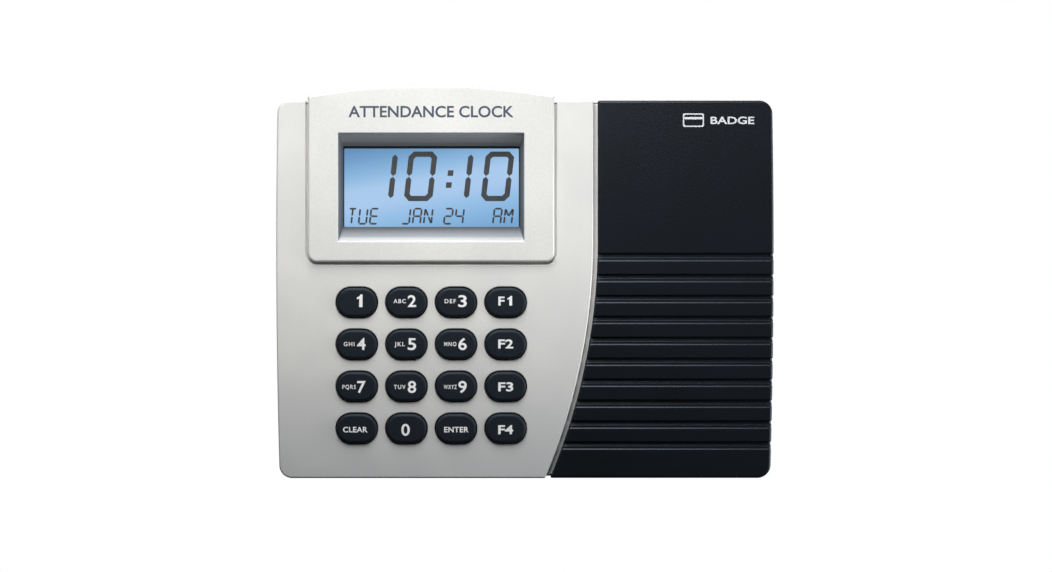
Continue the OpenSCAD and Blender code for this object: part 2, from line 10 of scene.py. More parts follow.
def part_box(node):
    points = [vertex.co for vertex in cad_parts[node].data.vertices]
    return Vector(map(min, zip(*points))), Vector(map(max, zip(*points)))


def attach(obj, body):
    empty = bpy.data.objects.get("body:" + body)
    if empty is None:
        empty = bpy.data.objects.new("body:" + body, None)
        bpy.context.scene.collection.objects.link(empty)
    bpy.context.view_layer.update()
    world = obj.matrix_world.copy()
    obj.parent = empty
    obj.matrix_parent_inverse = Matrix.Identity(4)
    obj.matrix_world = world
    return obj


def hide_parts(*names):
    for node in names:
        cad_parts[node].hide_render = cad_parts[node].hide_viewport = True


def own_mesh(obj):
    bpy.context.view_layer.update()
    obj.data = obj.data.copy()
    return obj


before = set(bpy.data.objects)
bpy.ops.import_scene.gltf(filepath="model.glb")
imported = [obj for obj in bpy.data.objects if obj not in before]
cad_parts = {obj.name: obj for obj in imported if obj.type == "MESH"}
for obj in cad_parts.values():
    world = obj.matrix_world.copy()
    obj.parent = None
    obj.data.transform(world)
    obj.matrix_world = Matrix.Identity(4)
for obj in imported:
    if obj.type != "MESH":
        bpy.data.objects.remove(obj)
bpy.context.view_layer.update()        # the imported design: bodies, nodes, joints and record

# ---------------------------------------------------------------------------
# Wall plate and its locking screws
# Zinc-plated sheet steel that is screwed to the wall. Four hooks cut from it
# hold the clock, and two screws in its lower tab keep it from being lifted off.

MM = 0.001
BODY = "clock_body"


def new_material(name):
    """An empty finish: the material, its nodes, its links and its shader."""
    made = bpy.data.materials.new(name)
    made.use_nodes = True
    nodes = made.node_tree.nodes
    return made, nodes, made.node_tree.links, nodes["Principled BSDF"]


def noise_of(nodes, links, cell, detail=3.0):
    """Noise on Object coordinates whose patches are about one cell wide."""
    place = nodes.new("ShaderNodeTexCoord")
    noise = nodes.new("ShaderNodeTexNoise")
    noise.inputs["Scale"].default_value = 1.0 / cell
    noise.inputs["Detail"].default_value = detail
    links.new(place.outputs["Object"], noise.inputs["Vector"])
    return noise.outputs["Fac"]


def ramp_of(nodes, links, factor, stops):
    """Colour that runs through the stops, each (position, (r, g, b)), as the factor goes from 0 to 1."""
    ramp = nodes.new("ShaderNodeValToRGB")
    elements = ramp.color_ramp.elements
    while len(elements) < len(stops):
        elements.new(0.5)
    for element, (position, colour) in zip(elements, stops):
        element.position = position
        element.color = (*colour, 1.0)
    links.new(factor, ramp.inputs["Fac"])
    return ramp.outputs["Color"]


def bump_of(nodes, links, height, relief, shader):
    """Relief of the given depth in metres under the shader's normal."""
    bump = nodes.new("ShaderNodeBump")
    bump.inputs["Strength"].default_value = 1.0
    bump.inputs["Distance"].default_value = relief
    links.new(height, bump.inputs["Height"])
    links.new(bump.outputs["Normal"], shader.inputs["Normal"])


def grained(name, colour, drift, cell, roughness, metallic=0.0, relief=0.0, alpha=1.0):
    """Plain moulded, rolled or printed finish. One noise moves the colour from colour to drift,
    takes the roughness a sixth up and down, and lifts the surface by the relief."""
    made, nodes, links, shader = new_material(name)
    shader.inputs["Metallic"].default_value = metallic
    shader.inputs["Alpha"].default_value = alpha
    factor = noise_of(nodes, links, cell)
    links.new(ramp_of(nodes, links, factor, [(0.3, colour), (0.7, drift)]), shader.inputs["Base Color"])
    wear = nodes.new("ShaderNodeMapRange")
    wear.inputs["To Min"].default_value = roughness * 5 / 6
    wear.inputs["To Max"].default_value = roughness * 7 / 6
    links.new(factor, wear.inputs["Value"])
    links.new(wear.outputs["Result"], shader.inputs["Roughness"])
    if relief:
        bump_of(nodes, links, factor, relief, shader)
    return made


def dress(node, finish):
    """Gives a node of the design its finish."""
    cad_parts[node].data.materials.clear()
    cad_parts[node].data.materials.append(finish)


def add_piece(name, mesh, finish, body, slot, *replaced):
    """Puts a finished mesh in the scene, on its body, in place of the nodes that it stands for."""
    mesh.materials.clear()
    mesh.materials.append(finish)
    piece = bpy.data.objects.new(name, mesh)
    bpy.context.scene.collection.objects.link(piece)
    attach(piece, body)
    if replaced:
        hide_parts(*replaced)
    return piece


def softened(node, name, edge, finish, slot):
    """A node's own shape with its doubled points merged and its sharp edges rounded to the edge radius."""
    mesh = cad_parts[node].data.copy()
    mesh.name = name
    piece = add_piece(name, mesh, finish, BODY, slot, node)
    weld = piece.modifiers.new("weld", "WELD")
    weld.merge_threshold = 0.005 * MM
    flat = piece.modifiers.new("flat faces", "DECIMATE")
    flat.decimate_type = "DISSOLVE"
    flat.angle_limit = math.radians(0.5)
    rounded = piece.modifiers.new("rounded edges", "BEVEL")
    rounded.width = edge
    rounded.segments = 3
    rounded.limit_method = "ANGLE"
    rounded.angle_limit = math.radians(40)
    rounded.use_clamp_overlap = True
    smooth_by_area(piece)
    return piece


def smooth_by_area(piece):
    """Smooth shading in which the large flat faces keep their own direction."""
    piece.data.polygons.foreach_set("use_smooth", np.ones(len(piece.data.polygons), bool))
    piece.data.set_sharp_from_angle(angle=math.radians(50))
    weighted = piece.modifiers.new("weighted normals", "WEIGHTED_NORMAL")
    weighted.keep_sharp = True


zinc = grained("zinc plate", (0.55, 0.56, 0.57), (0.66, 0.66, 0.65), 9 * MM, 0.34, 0.9, 0.01 * MM)
screw_zinc = grained("zinc screw", (0.58, 0.58, 0.57), (0.68, 0.67, 0.64), 2 * MM, 0.28, 0.95)
softened("wall_plate", "steel_wall_plate", 0.25 * MM, zinc, "zinc_steel")
softened("lock_screws", "socket_lock_screws", 0.15 * MM, screw_zinc, "screw_steel")

# ---------------------------------------------------------------------------
# Rear case with its label and screws
# Injection-moulded black tray with a fine spark-eroded texture. It carries the
# screws that close the housing, and a blank foil label is stuck on its back.

case_black = grained("case black", (0.010, 0.011, 0.013), (0.016, 0.017, 0.020), 0.5 * MM, 0.55,
                     relief=0.03 * MM)
label_foil = grained("label foil", (0.62, 0.63, 0.64), (0.68, 0.69, 0.69), 6 * MM, 0.38)
softened("rear_case", "moulded_rear_case", 0.4 * MM, case_black, "black_case")
softened("rating_label", "blank_rating_label", 0.03 * MM, label_foil, "label")
softened("case_screws", "housing_screws", 0.15 * MM, screw_zinc, "screw_steel")

# ---------------------------------------------------------------------------
# Interface board with its sockets and parts
# Green lacquered glass-fibre board in the bottom of the case. The tinned network
# socket, the power socket and the small parts are soldered to it.


def board_lacquer():
    """Green lacquer over copper: straight tracks show through as lighter bands on a fine grid."""
    made, nodes, links, shader = new_material("board lacquer")
    shader.inputs["Roughness"].default_value = 0.3
    place = nodes.new("ShaderNodeTexCoord")
    tracks = nodes.new("ShaderNodeTexBrick")
    tracks.inputs["Scale"].default_value = 1.0 / (22 * MM)
    tracks.inputs["Mortar Size"].default_value = 0.012
    tracks.inputs["Color1"].default_value = (0.010, 0.085, 0.035, 1.0)
    tracks.inputs["Color2"].default_value = (0.014, 0.110, 0.045, 1.0)
    tracks.inputs["Mortar"].default_value = (0.030, 0.200, 0.080, 1.0)
    turn = nodes.new("ShaderNodeMapping")
    turn.inputs["Rotation"].default_value = (math.pi / 2, 0.0, 0.0)
    links.new(place.outputs["Object"], turn.inputs["Vector"])
    links.new(turn.outputs["Vector"], tracks.inputs["Vector"])
    links.new(tracks.outputs["Color"], shader.inputs["Base Color"])
    bump_of(nodes, links, tracks.outputs["Fac"], 0.03 * MM, shader)
    return made


green_board = board_lacquer()
connector_black = grained("connector nylon", (0.016, 0.016, 0.018), (0.024, 0.024, 0.026), 1.2 * MM, 0.42)
tinned = grained("tinned shield", (0.62, 0.62, 0.60), (0.72, 0.71, 0.68), 5 * MM, 0.3, 0.95)
nickel = grained("nickel pin", (0.66, 0.64, 0.58), (0.74, 0.72, 0.66), 2 * MM, 0.18, 1.0)
cell_can = grained("cell can", (0.70, 0.70, 0.71), (0.80, 0.80, 0.80), 8 * MM, 0.25, 1.0)
sleeve = grained("capacitor sleeve", (0.020, 0.035, 0.090), (0.028, 0.046, 0.110), 3 * MM, 0.3)
extruded = grained("extruded aluminium", (0.50, 0.51, 0.52), (0.58, 0.58, 0.58), 3 * MM, 0.4, 0.95)
dress("interface_board", green_board)
softened("interface_board_screws", "interface_screws", 0.15 * MM, screw_zinc, "screw_steel")
softened("beeper", "round_beeper", 0.3 * MM, connector_black, "connector_black")
softened("coin_cell_holder", "moulded_cell_holder", 0.25 * MM, connector_black, "connector_black")
softened("coin_cell", "clock_battery", 0.3 * MM, cell_can, "cell_steel")
softened("capacitors", "sleeved_capacitors", 0.4 * MM, sleeve, "capacitor_sleeve")
softened("heat_sink", "finned_heat_sink", 0.12 * MM, extruded, "heat_sink_aluminium")
softened("network_jack", "shielded_network_socket", 0.2 * MM, tinned, "jack_shield")
softened("power_jack", "moulded_power_socket", 0.2 * MM, connector_black, "connector_black")
softened("power_jack_pin", "power_socket_pin", 0.25 * MM, nickel, "nickel_pin")

# ---------------------------------------------------------------------------
# Cables inside the housing
# A grey ribbon joins the two main boards, and four red wires go to the badge
# reader. Both end in moulded connectors that plug onto headers.

ribbon_grey = grained("ribbon PVC", (0.34, 0.35, 0.36), (0.42, 0.43, 0.44), 1.3 * MM, 0.4)
wire_red = grained("wire PVC", (0.30, 0.030, 0.025), (0.36, 0.040, 0.034), 4 * MM, 0.35)
ivory = grained("ivory nylon", (0.66, 0.61, 0.47), (0.72, 0.68, 0.54), 2 * MM, 0.4)
softened("board_headers", "pin_headers", 0.2 * MM, connector_black, "connector_black")
softened("ribbon_connectors", "ribbon_plugs", 0.2 * MM, connector_black, "connector_black")
softened("cable_connectors", "wire_plugs", 0.2 * MM, ivory, "connector_ivory")
dress("reader_cable", wire_red)


def swept_mesh(name, rings, closed=False):
    """A tube through rings, (n, m, 3). Both ends are filled, or joined to each other when closed.
    A tube whose volume, the sum of p . (q x r) / 6 over its triangles, is negative is turned round."""
    count, around = rings.shape[:2]
    row, column = np.meshgrid(np.arange(count if closed else count - 1), np.arange(around), indexing="ij")
    here, beside = row * around + column, row * around + (column + 1) % around
    below, across = (here + around) % (count * around), (beside + around) % (count * around)
    faces = np.stack([here, below, across, beside], -1).reshape(-1, 4).tolist()
    if not closed:
        faces += [list(range(around)), list(range(count * around - 1, (count - 1) * around - 1, -1))]
    made = bpy.data.meshes.new(name)
    made.from_pydata(rings.reshape(-1, 3).tolist(), [], faces)
    solid = bmesh.new()
    solid.from_mesh(made)
    bmesh.ops.recalc_face_normals(solid, faces=solid.faces)
    if solid.calc_volume(signed=True) < 0:
        bmesh.ops.reverse_faces(solid, faces=solid.faces)
    solid.to_mesh(made)
    solid.free()
    return made


RIBBON_WIRES = 10
RIBBON_STRAIGHT = 7.6 * MM          # level stretch at each end
RIBBON_DEPTHS = (21 * MM, 17 * MM)  # at the main board's plug and at the interface board's
ribbon_low, ribbon_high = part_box("ribbon_cable")
along = np.linspace(ribbon_low.x, ribbon_high.x, 49)
share = np.clip((along - ribbon_low.x - RIBBON_STRAIGHT) / (along[-1] - along[0] - 2 * RIBBON_STRAIGHT), 0, 1)
sunk = RIBBON_DEPTHS[0] + (RIBBON_DEPTHS[1] - RIBBON_DEPTHS[0]) * share * share * (3 - 2 * share)
# Its section is a row of round wires: the half thickness follows the sine of the distance across
across = np.linspace(0, 1, RIBBON_WIRES * 6 + 1)
half_t = (0.28 + 0.17 * np.abs(np.sin(np.pi * RIBBON_WIRES * across))) * MM
section_z = ribbon_low.z + (ribbon_high.z - ribbon_low.z) * np.concatenate([across, across[::-1]])
section_d = np.concatenate([half_t, -half_t[::-1]])
ribbon_rings = np.array([np.column_stack([np.full(len(section_z), x), -(d + section_d), section_z])
                         for x, d in zip(along, sunk)])
ribbon = add_piece("ten_wire_ribbon", swept_mesh("ribbon", ribbon_rings), ribbon_grey, BODY, "grey_cable",
                   "ribbon_cable")
smooth_by_area(ribbon)

# ---------------------------------------------------------------------------
# Main board
# The board behind the display and the keys, with the gold pads that the keypad's
# carbon pills touch.

epoxy = grained("chip epoxy", (0.014, 0.014, 0.015), (0.022, 0.022, 0.023), 0.8 * MM, 0.5)
ceramic = grained("ceramic body", (0.34, 0.22, 0.12), (0.50, 0.36, 0.22), 2.5 * MM, 0.4)
silicone = grained("silicone mat", (0.030, 0.032, 0.036), (0.040, 0.043, 0.048), 3 * MM, 0.6)
carbon = grained("carbon rubber", (0.010, 0.010, 0.011), (0.018, 0.018, 0.019), 0.6 * MM, 0.7)
gold = grained("gold contact", (0.78, 0.55, 0.20), (0.86, 0.64, 0.28), 1.5 * MM, 0.22, 1.0)
dress("main_board", green_board)
softened("main_board_chips", "moulded_chips", 0.15 * MM, epoxy, "chip_black")
dress("main_board_small_parts", ceramic)
softened("main_board_screws", "main_screws", 0.15 * MM, screw_zinc, "screw_steel")
dress("key_contacts", gold)

# ---------------------------------------------------------------------------
# Silver front cover
# Moulded plastic painted with a fine silver flake. It has sixteen keyholes, a
# sunk seat for the display bezel, and a ledge that shows as a channel floor.

EDGE = 0.7 * MM             # radius of the moulded edges
WALL = 2.2 * MM             # wall thickness
FLAT = 1000.0               # radius, in metres, of a side that is straight
CORNER_R = 5.2 * MM         # the body's four corners
BOW_R = 3.0                 # radius of the body's bowed sides
BOW_Z = 15.7 * MM           # height at which the body is widest
SEAT_GAP = 0.8 * MM         # groove round the bezel
SEAT_D = 1.2 * MM           # how far the seat lies below the silver face
BEZEL_R = 3.6 * MM          # lower corners of the bezel
TIP_R = 0.9 * MM            # upper corners of the bezel
ARCH_R = 280 * MM           # radius of the bezel's arched top
SPLIT_R = 245 * MM          # radius of the curved edge beside the black cover
CHANNEL_W = 1.8 * MM
SPLIT_CORNER_R = 0.8 * MM   # corners where the split meets the body's outline
SPLIT_BEND_Z = 19.7 * MM    # height at which the straight edge turns into the curve
PARTING_BEVEL = 0.3 * MM    # at the rear edge of the front parts
CURVE_POINTS = 34           # points along a curved side

black_low, black_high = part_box("reader_cover")
silver_low, silver_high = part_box("front_cover")
bezel_low, bezel_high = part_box("display_bezel")
half_w = black_high.x
half_h = black_high.z
face_d = -silver_low.y
parting_d = -silver_high.y
bezel_mid_x = (bezel_low.x + bezel_high.x) / 2
straight_x = 27.3 * MM      # the silver cover's straight upper right edge
channel_d = face_d - 2.8 * MM


def line_side(x, z, out_x, out_z):
    """A straight side through (x, z) that faces (out_x, out_z), as a circle of huge radius."""
    return (x - out_x * FLAT, z - out_z * FLAT, FLAT, 1)


def meet(side_a, side_b, inward, near):
    """Where two circles cross, each first moved into the material by the same distance.
    Of the two crossing points, the one nearer to near is taken."""
    (ax, az, ar, a_in), (bx, bz, br, b_in) = side_a, side_b
    ra, rb = ar - a_in * inward, br - b_in * inward
    gap = math.hypot(bx - ax, bz - az)
    along = (gap * gap + ra * ra - rb * rb) / (2 * gap)
    across = math.sqrt(max(ra * ra - along * along, 0.0))
    ux, uz = (bx - ax) / gap, (bz - az) / gap
    points = [np.array([ax + along * ux + s * across * uz, az + along * uz - s * across * ux])
              for s in (-1, 1)]
    return min(points, key=lambda p: np.hypot(*(p - near)))


def outward(side, point):
    """Unit vector out of the material at a point beside a side."""
    step = (np.asarray(point) - side[:2]) * side[3]
    return step / np.hypot(*step)


def round_corner(side_a, side_b, near, radius, inset, steps):
    """Points round the corner from side_a to side_b with the outline moved in by inset. The corner's
    own circle touches both sides, so its centre is where the two cross when moved in by its radius.
    A negative radius is an inner corner, and None is a smooth join, which is one point."""
    if radius is None:
        return [np.asarray(near) - inset * outward(side_a, near)]
    left = max(radius - inset, 0.02 * MM) if radius > 0 else radius - inset
    centre = meet(side_a, side_b, inset + left, near)
    start, end = (math.atan2(n[1], n[0]) for n in (outward(side_a, centre), outward(side_b, centre)))
    turn = (end - start + math.pi) % (2 * math.pi) - math.pi
    angles = start + turn * np.linspace(0, 1, steps + 1)
    return list(centre + left * np.column_stack([np.cos(angles), np.sin(angles)]))


def outline(sides, corners, inset=0.0, steps=10):
    """A closed loop, anticlockwise from the front. Corner i joins side i - 1 to side i, and a curved
    side gets points along its circle between its two corners."""
    turns = [round_corner(sides[i - 1], side, *corners[i], inset, steps) for i, side in enumerate(sides)]
    points = []
    for i, (x, z, r, into) in enumerate(sides):
        points += turns[i]
        if r < FLAT:
            ends = (turns[i][-1], turns[(i + 1) % len(turns)][0])
            a, b = (math.atan2(p[1] - z, p[0] - x) for p in ends)
            sweep = (b - a + math.pi) % (2 * math.pi) - math.pi
            angles = a + sweep * np.linspace(0, 1, CURVE_POINTS)[1:-1]
            reach = r - into * inset
            points += list(np.column_stack([x + reach * np.cos(angles), z + reach * np.sin(angles)]))
    return np.array(points)


def rings_of(*loops):
    """Stacks loops into rings in space. Each is (points, depth from the wall)."""
    return np.array([np.column_stack([p[:, 0], np.full(len(p), -depth), p[:, 1]]) for p, depth in loops])


def rounded_rim(loop, depth, radius=EDGE, steps=5):
    """Rings over a quarter circle, from the flat face at depth to the side wall below it.
    loop(inset) gives the outline, so ring k lies radius (1 - sin a) in and radius (1 - cos a) down."""
    angles = np.linspace(0, math.pi / 2, steps + 1)
    return [(loop(radius * (1 - math.sin(a))), depth - radius * (1 - math.cos(a))) for a in angles]


def shell_mesh(name, *walls):
    """A closed skin. Each wall is a stack of rings that starts on the front face and ends on the back
    face. Quads join the rings, and flat triangles fill both faces between the walls."""
    points, faces, first = [], [], 0
    ends = ([], [])
    for rings in walls:
        count, around = rings.shape[:2]
        row, column = np.meshgrid(np.arange(count - 1), np.arange(around), indexing="ij")
        here = first + row * around + column
        beside = first + row * around + (column + 1) % around
        quads = np.stack([here, here + around, beside + around, beside], -1).reshape(-1, 4)
        faces += quads.tolist()
        points.append(rings.reshape(-1, 3))
        ends[0].append(np.arange(first, first + around))
        ends[1].append(np.arange(first + (count - 1) * around, first + count * around))
        first += count * around
    points = np.concatenate(points)
    for loops, facing in zip(ends, (-1.0, 1.0)):
        index = np.concatenate(loops)
        borders = [[Vector((x, z, 0.0)) for x, _, z in points[loop]] for loop in loops]
        flat = np.array(tessellate_polygon(borders))
        corners = points[index[flat]]
        normal_y = np.cross(corners[:, 1] - corners[:, 0], corners[:, 2] - corners[:, 0])[:, 1]
        flat[normal_y * facing < 0] = flat[normal_y * facing < 0][:, ::-1]
        faces += index[flat].tolist()
    mesh = bpy.data.meshes.new(name)
    mesh.from_pydata(points.tolist(), [], faces)
    mesh.validate()
    return mesh


def points_of(mesh):
    """A mesh's points, one row of X, Y and Z each."""
    points = np.empty(len(mesh.vertices) * 3)
    mesh.vertices.foreach_get("co", points)
    return points.reshape(-1, 3)


def joined(name, *meshes):
    """One mesh that holds several closed skins."""
    points, faces, first = [], [], 0
    for mesh in meshes:
        corners = np.empty(len(mesh.loops), np.int32)
        starts = np.empty(len(mesh.polygons), np.int32)
        mesh.loops.foreach_get("vertex_index", corners)
        mesh.polygons.foreach_get("loop_start", starts)
        points.append(points_of(mesh))
        faces += [face.tolist() for face in np.split(corners + first, starts[1:])]
        first += len(mesh.vertices)
        bpy.data.meshes.remove(mesh)
    both = bpy.data.meshes.new(name)
    both.from_pydata(np.concatenate(points).tolist(), [], faces)
    return both


def stadium(x, z, w, h, inset=0.0, hole=False, steps=16):
    """A bar with round ends, of width w and height h: two half circles about points on its axis.
    A hole runs clockwise and grows with the inset."""
    r = h / 2 + (inset if hole else -inset)
    angles = np.linspace(-math.pi / 2, math.pi / 2, steps + 1)
    right = np.column_stack([(w - h) / 2 + r * np.cos(angles), r * np.sin(angles)])
    loop = np.concatenate([right, -right]) + (x, z)
    return loop[::-1] if hole else loop


# The sides of the body, the bezel and the split, each as a circle that the outlines are cut from
body_top = line_side(0, half_h, 0, 1)
body_bottom = line_side(0, -half_h, 0, -1)
body_left = (BOW_R - half_w, BOW_Z, BOW_R, 1)
split_straight = line_side(straight_x, 0, 1, 0)
split_curve = (straight_x - SPLIT_R, SPLIT_BEND_Z, SPLIT_R, 1)
split_bottom_x = straight_x - SPLIT_R + math.sqrt(SPLIT_R ** 2 - (half_h + SPLIT_BEND_Z) ** 2)
seat_left_x = bezel_low.x - SEAT_GAP
seat_right_x = bezel_high.x + SEAT_GAP
seat_bottom_z = bezel_low.z - SEAT_GAP


def silver_outline(inset=0.0):
    """The silver face: the body's left part with a notch for the bezel in its upper edge."""
    seat_r = -(BEZEL_R + SEAT_GAP)
    sides = [body_bottom, split_curve, split_straight, body_top,
             line_side(seat_right_x, 0, -1, 0), line_side(0, seat_bottom_z, 0, 1),
             line_side(seat_left_x, 0, 1, 0), body_top, body_left]
    corners = [((-half_w, -half_h), CORNER_R), ((split_bottom_x, -half_h), SPLIT_CORNER_R),
               ((straight_x, SPLIT_BEND_Z), None), ((straight_x, half_h), SPLIT_CORNER_R),
               ((seat_right_x, half_h), 0.5 * MM), ((seat_right_x, seat_bottom_z), seat_r),
               ((seat_left_x, seat_bottom_z), seat_r), ((seat_left_x, half_h), 0.5 * MM),
               ((-half_w, half_h), CORNER_R)]
    return outline(sides, corners, inset)


def multiplied(nodes, links, a, b):
    """The product of two colours."""
    both = nodes.new("ShaderNodeMix")
    both.data_type = "RGBA"
    both.blend_type = "MULTIPLY"
    both.inputs["Factor"].default_value = 1.0
    links.new(a, both.inputs["A"])
    links.new(b, both.inputs["B"])
    return both.outputs["Result"]


def silver_paint(name, shade_mask=""):
    """Silver flake paint: 0.4 mm flakes vary in brightness and tilt over a slow warm-to-cool drift,
    and painted shade makes it greyer towards the body's upper and lower ends, where the overhead light falls
    off.
    The attribute named by the last argument, if any, is 0 on bare paint and 1 where painted shade in a recess
    is darkest, and there the paint is also less glossy."""
    made, nodes, links, shader = new_material(name)
    shader.inputs["Metallic"].default_value = 0.2
    shader.inputs["Roughness"].default_value = 0.45
    drift = noise_of(nodes, links, 25 * MM, 2.0)
    broad = ramp_of(nodes, links, drift, [(0.35, (0.775, 0.78, 0.765)), (0.65, (0.825, 0.825, 0.80))])
    flakes = noise_of(nodes, links, 0.4 * MM, 2.0)
    fine = ramp_of(nodes, links, flakes, [(0.3, (0.89, 0.89, 0.89)), (0.7, (1.0, 1.0, 1.0))])
    place = nodes.new("ShaderNodeTexCoord")
    apart = nodes.new("ShaderNodeSeparateXYZ")
    links.new(place.outputs["Object"], apart.inputs["Vector"])
    height = nodes.new("ShaderNodeMapRange")
    height.inputs["From Min"].default_value = -80 * MM
    height.inputs["From Max"].default_value = 80 * MM
    links.new(apart.outputs["Z"], height.inputs["Value"])
    # Painted shade: the colour darkens towards the top and the bottom of the body, standing in for the
    # overhead light's falloff, and turns a little cooler at the bottom
    painted_falloff = ramp_of(nodes, links, height.outputs["Result"], [
        (0.02, (0.76, 0.78, 0.81)), (0.20, (0.88, 0.89, 0.905)), (0.40, (1.02, 1.02, 1.02)),
        (0.55, (1.03, 1.03, 1.03)), (0.75, (0.95, 0.95, 0.95)), (0.90, (0.87, 0.87, 0.875)),
        (1.00, (0.78, 0.78, 0.785))])
    colour = multiplied(nodes, links, multiplied(nodes, links, broad, fine), painted_falloff)
    # Painted shade in the bezel's recess: the attribute darkens the colour towards the lens and lowers the
    # gloss
    if shade_mask:
        painted_recess_shade = nodes.new("ShaderNodeAttribute")
        painted_recess_shade.attribute_name = shade_mask
        dark = ramp_of(nodes, links, painted_recess_shade.outputs["Fac"], [
            (0.0, (1.0, 1.0, 1.0)), (0.08, (0.60, 0.62, 0.65)), (0.35, (0.25, 0.27, 0.30)),
            (1.0, (0.065, 0.075, 0.090))])
        colour = multiplied(nodes, links, colour, dark)
        duller = nodes.new("ShaderNodeMapRange")
        duller.inputs["From Max"].default_value = 0.4
        duller.inputs["To Min"].default_value = 0.5
        duller.inputs["To Max"].default_value = 0.12
        links.new(painted_recess_shade.outputs["Fac"], duller.inputs["Value"])
        links.new(duller.outputs["Result"], shader.inputs["Specular IOR Level"])
    links.new(colour, shader.inputs["Base Color"])
    bump_of(nodes, links, flakes, 0.012 * MM, shader)
    return made


silver = silver_paint("silver flake paint with painted shade")

keys = [f"key_{name}" for name in ("1 2 3 f1 4 5 6 f2 7 8 9 f3 clear 0 enter f4").split()]
KEY_HOLE_W, KEY_HOLE_H = 17.1 * MM, 12.6 * MM
KEY_HOLE_RIM = 0.4 * MM     # radius of the rim round each keyhole


def middle_of(node):
    """The X and Z of a node's middle."""
    low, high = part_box(node)
    return (low.x + high.x) / 2, (low.z + high.z) / 2


def keyhole_rings(node):
    """A keyhole through the cover: a rounded rim, then a straight wall to the inner face."""
    x, z = middle_of(node)

    def loop(inset):
        return stadium(x, z, KEY_HOLE_W, KEY_HOLE_H, inset, hole=True)

    return rings_of(*rounded_rim(loop, face_d, KEY_HOLE_RIM), (loop(0), face_d - WALL))


face_rings = rings_of(
    *rounded_rim(silver_outline, face_d),
    (silver_outline(), parting_d + PARTING_BEVEL), (silver_outline(PARTING_BEVEL), parting_d),
    (silver_outline(WALL), parting_d), (silver_outline(WALL), face_d - WALL))
silver_face = shell_mesh("silver face", face_rings, *[keyhole_rings(key) for key in keys])


def bezel_outline(inset=0.0):
    """The bezel seen from the front: straight bottom and sides under an arch."""
    arch = (bezel_mid_x, bezel_high.z - ARCH_R, ARCH_R, 1)
    sides = [line_side(0, bezel_low.z, 0, -1), line_side(bezel_high.x, 0, 1, 0), arch,
             line_side(bezel_low.x, 0, -1, 0)]
    tip_z = bezel_high.z - 4 * MM
    corners = [((bezel_low.x, bezel_low.z), BEZEL_R), ((bezel_high.x, bezel_low.z), BEZEL_R),
               ((bezel_high.x, tip_z), TIP_R), ((bezel_low.x, tip_z), TIP_R)]
    return outline(sides, corners, inset)


def seat_outline(inset=0.0):
    """The seat and the hood behind it. Inside the body it runs on under the silver face, and above
    the body's edge only the hood shows, one groove's width inside the bezel's arch."""
    under = 1.5 * MM
    shoulder_z = half_h - 1.5 * MM
    arch = (bezel_mid_x, bezel_high.z - ARCH_R, ARCH_R - SEAT_GAP, 1)
    left, right, low = seat_left_x - under, seat_right_x + under, seat_bottom_z - under
    hood_left, hood_right = bezel_low.x + SEAT_GAP, bezel_high.x - SEAT_GAP
    sides = [line_side(0, low, 0, -1), line_side(right, 0, 1, 0), line_side(0, shoulder_z, 0, 1),
             line_side(hood_right, 0, 1, 0), arch, line_side(hood_left, 0, -1, 0),
             line_side(0, shoulder_z, 0, 1), line_side(left, 0, -1, 0)]
    tip_z = bezel_high.z - 5 * MM
    corners = [((left, low), 1 * MM), ((right, low), 1 * MM), ((right, shoulder_z), 0.5 * MM),
               ((hood_right, shoulder_z), -0.2 * MM), ((hood_right, tip_z), 0.5 * MM),
               ((hood_left, tip_z), 0.5 * MM), ((hood_left, shoulder_z), -0.2 * MM),
               ((left, shoulder_z), 0.5 * MM)]
    return outline(sides, corners, inset, 4)


def rectangle(x, z, w, h, inset=0.0, radius=0.4 * MM, hole=True):
    """A rectangle with small round corners. A hole runs clockwise and grows with the inset."""
    grow = inset if hole else -inset
    w, h = w + 2 * grow, h + 2 * grow
    sides = [line_side(x, z - h / 2, 0, -1), line_side(x + w / 2, z, 1, 0),
             line_side(x, z + h / 2, 0, 1), line_side(x - w / 2, z, -1, 0)]
    ends = [(x - w / 2, z - h / 2), (x + w / 2, z - h / 2), (x + w / 2, z + h / 2), (x - w / 2, z + h / 2)]
    loop = outline(sides, [(end, radius) for end in ends], 0.0, 6)
    return loop[::-1] if hole else loop


lens_low, lens_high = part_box("display_lens")
view_x = (lens_low.x + lens_high.x) / 2
view_z = (lens_low.z + lens_high.z) / 2
seat_hole = rectangle(view_x, view_z, 80 * MM, 40.4 * MM)
seat_front_d = face_d - SEAT_D
seat_floor = shell_mesh(
    "seat floor", rings_of((seat_outline(), seat_front_d), (seat_outline(), seat_front_d - WALL)),
    rings_of((seat_hole, seat_front_d), (seat_hole, seat_front_d - WALL)))


def hood_outline(inset=0.0):
    """The hood that carries the arch back to the parting line, from just inside the body upwards."""
    arch = (bezel_mid_x, bezel_high.z - ARCH_R, ARCH_R - SEAT_GAP, 1)
    left, right, low = bezel_low.x + SEAT_GAP, bezel_high.x - SEAT_GAP, half_h - 2 * MM
    sides = [line_side(0, low, 0, -1), line_side(right, 0, 1, 0), arch, line_side(left, 0, -1, 0)]
    tip_z = bezel_high.z - 5 * MM
    corners = [((left, low), 0.1 * MM), ((right, low), 0.1 * MM), ((right, tip_z), 0.5 * MM),
               ((left, tip_z), 0.5 * MM)]
    return outline(sides, corners, inset, 4)


hood = shell_mesh("hood", rings_of(
    (hood_outline(), seat_front_d - 0.1 * MM), (hood_outline(), parting_d + PARTING_BEVEL),
    (hood_outline(PARTING_BEVEL), parting_d)))


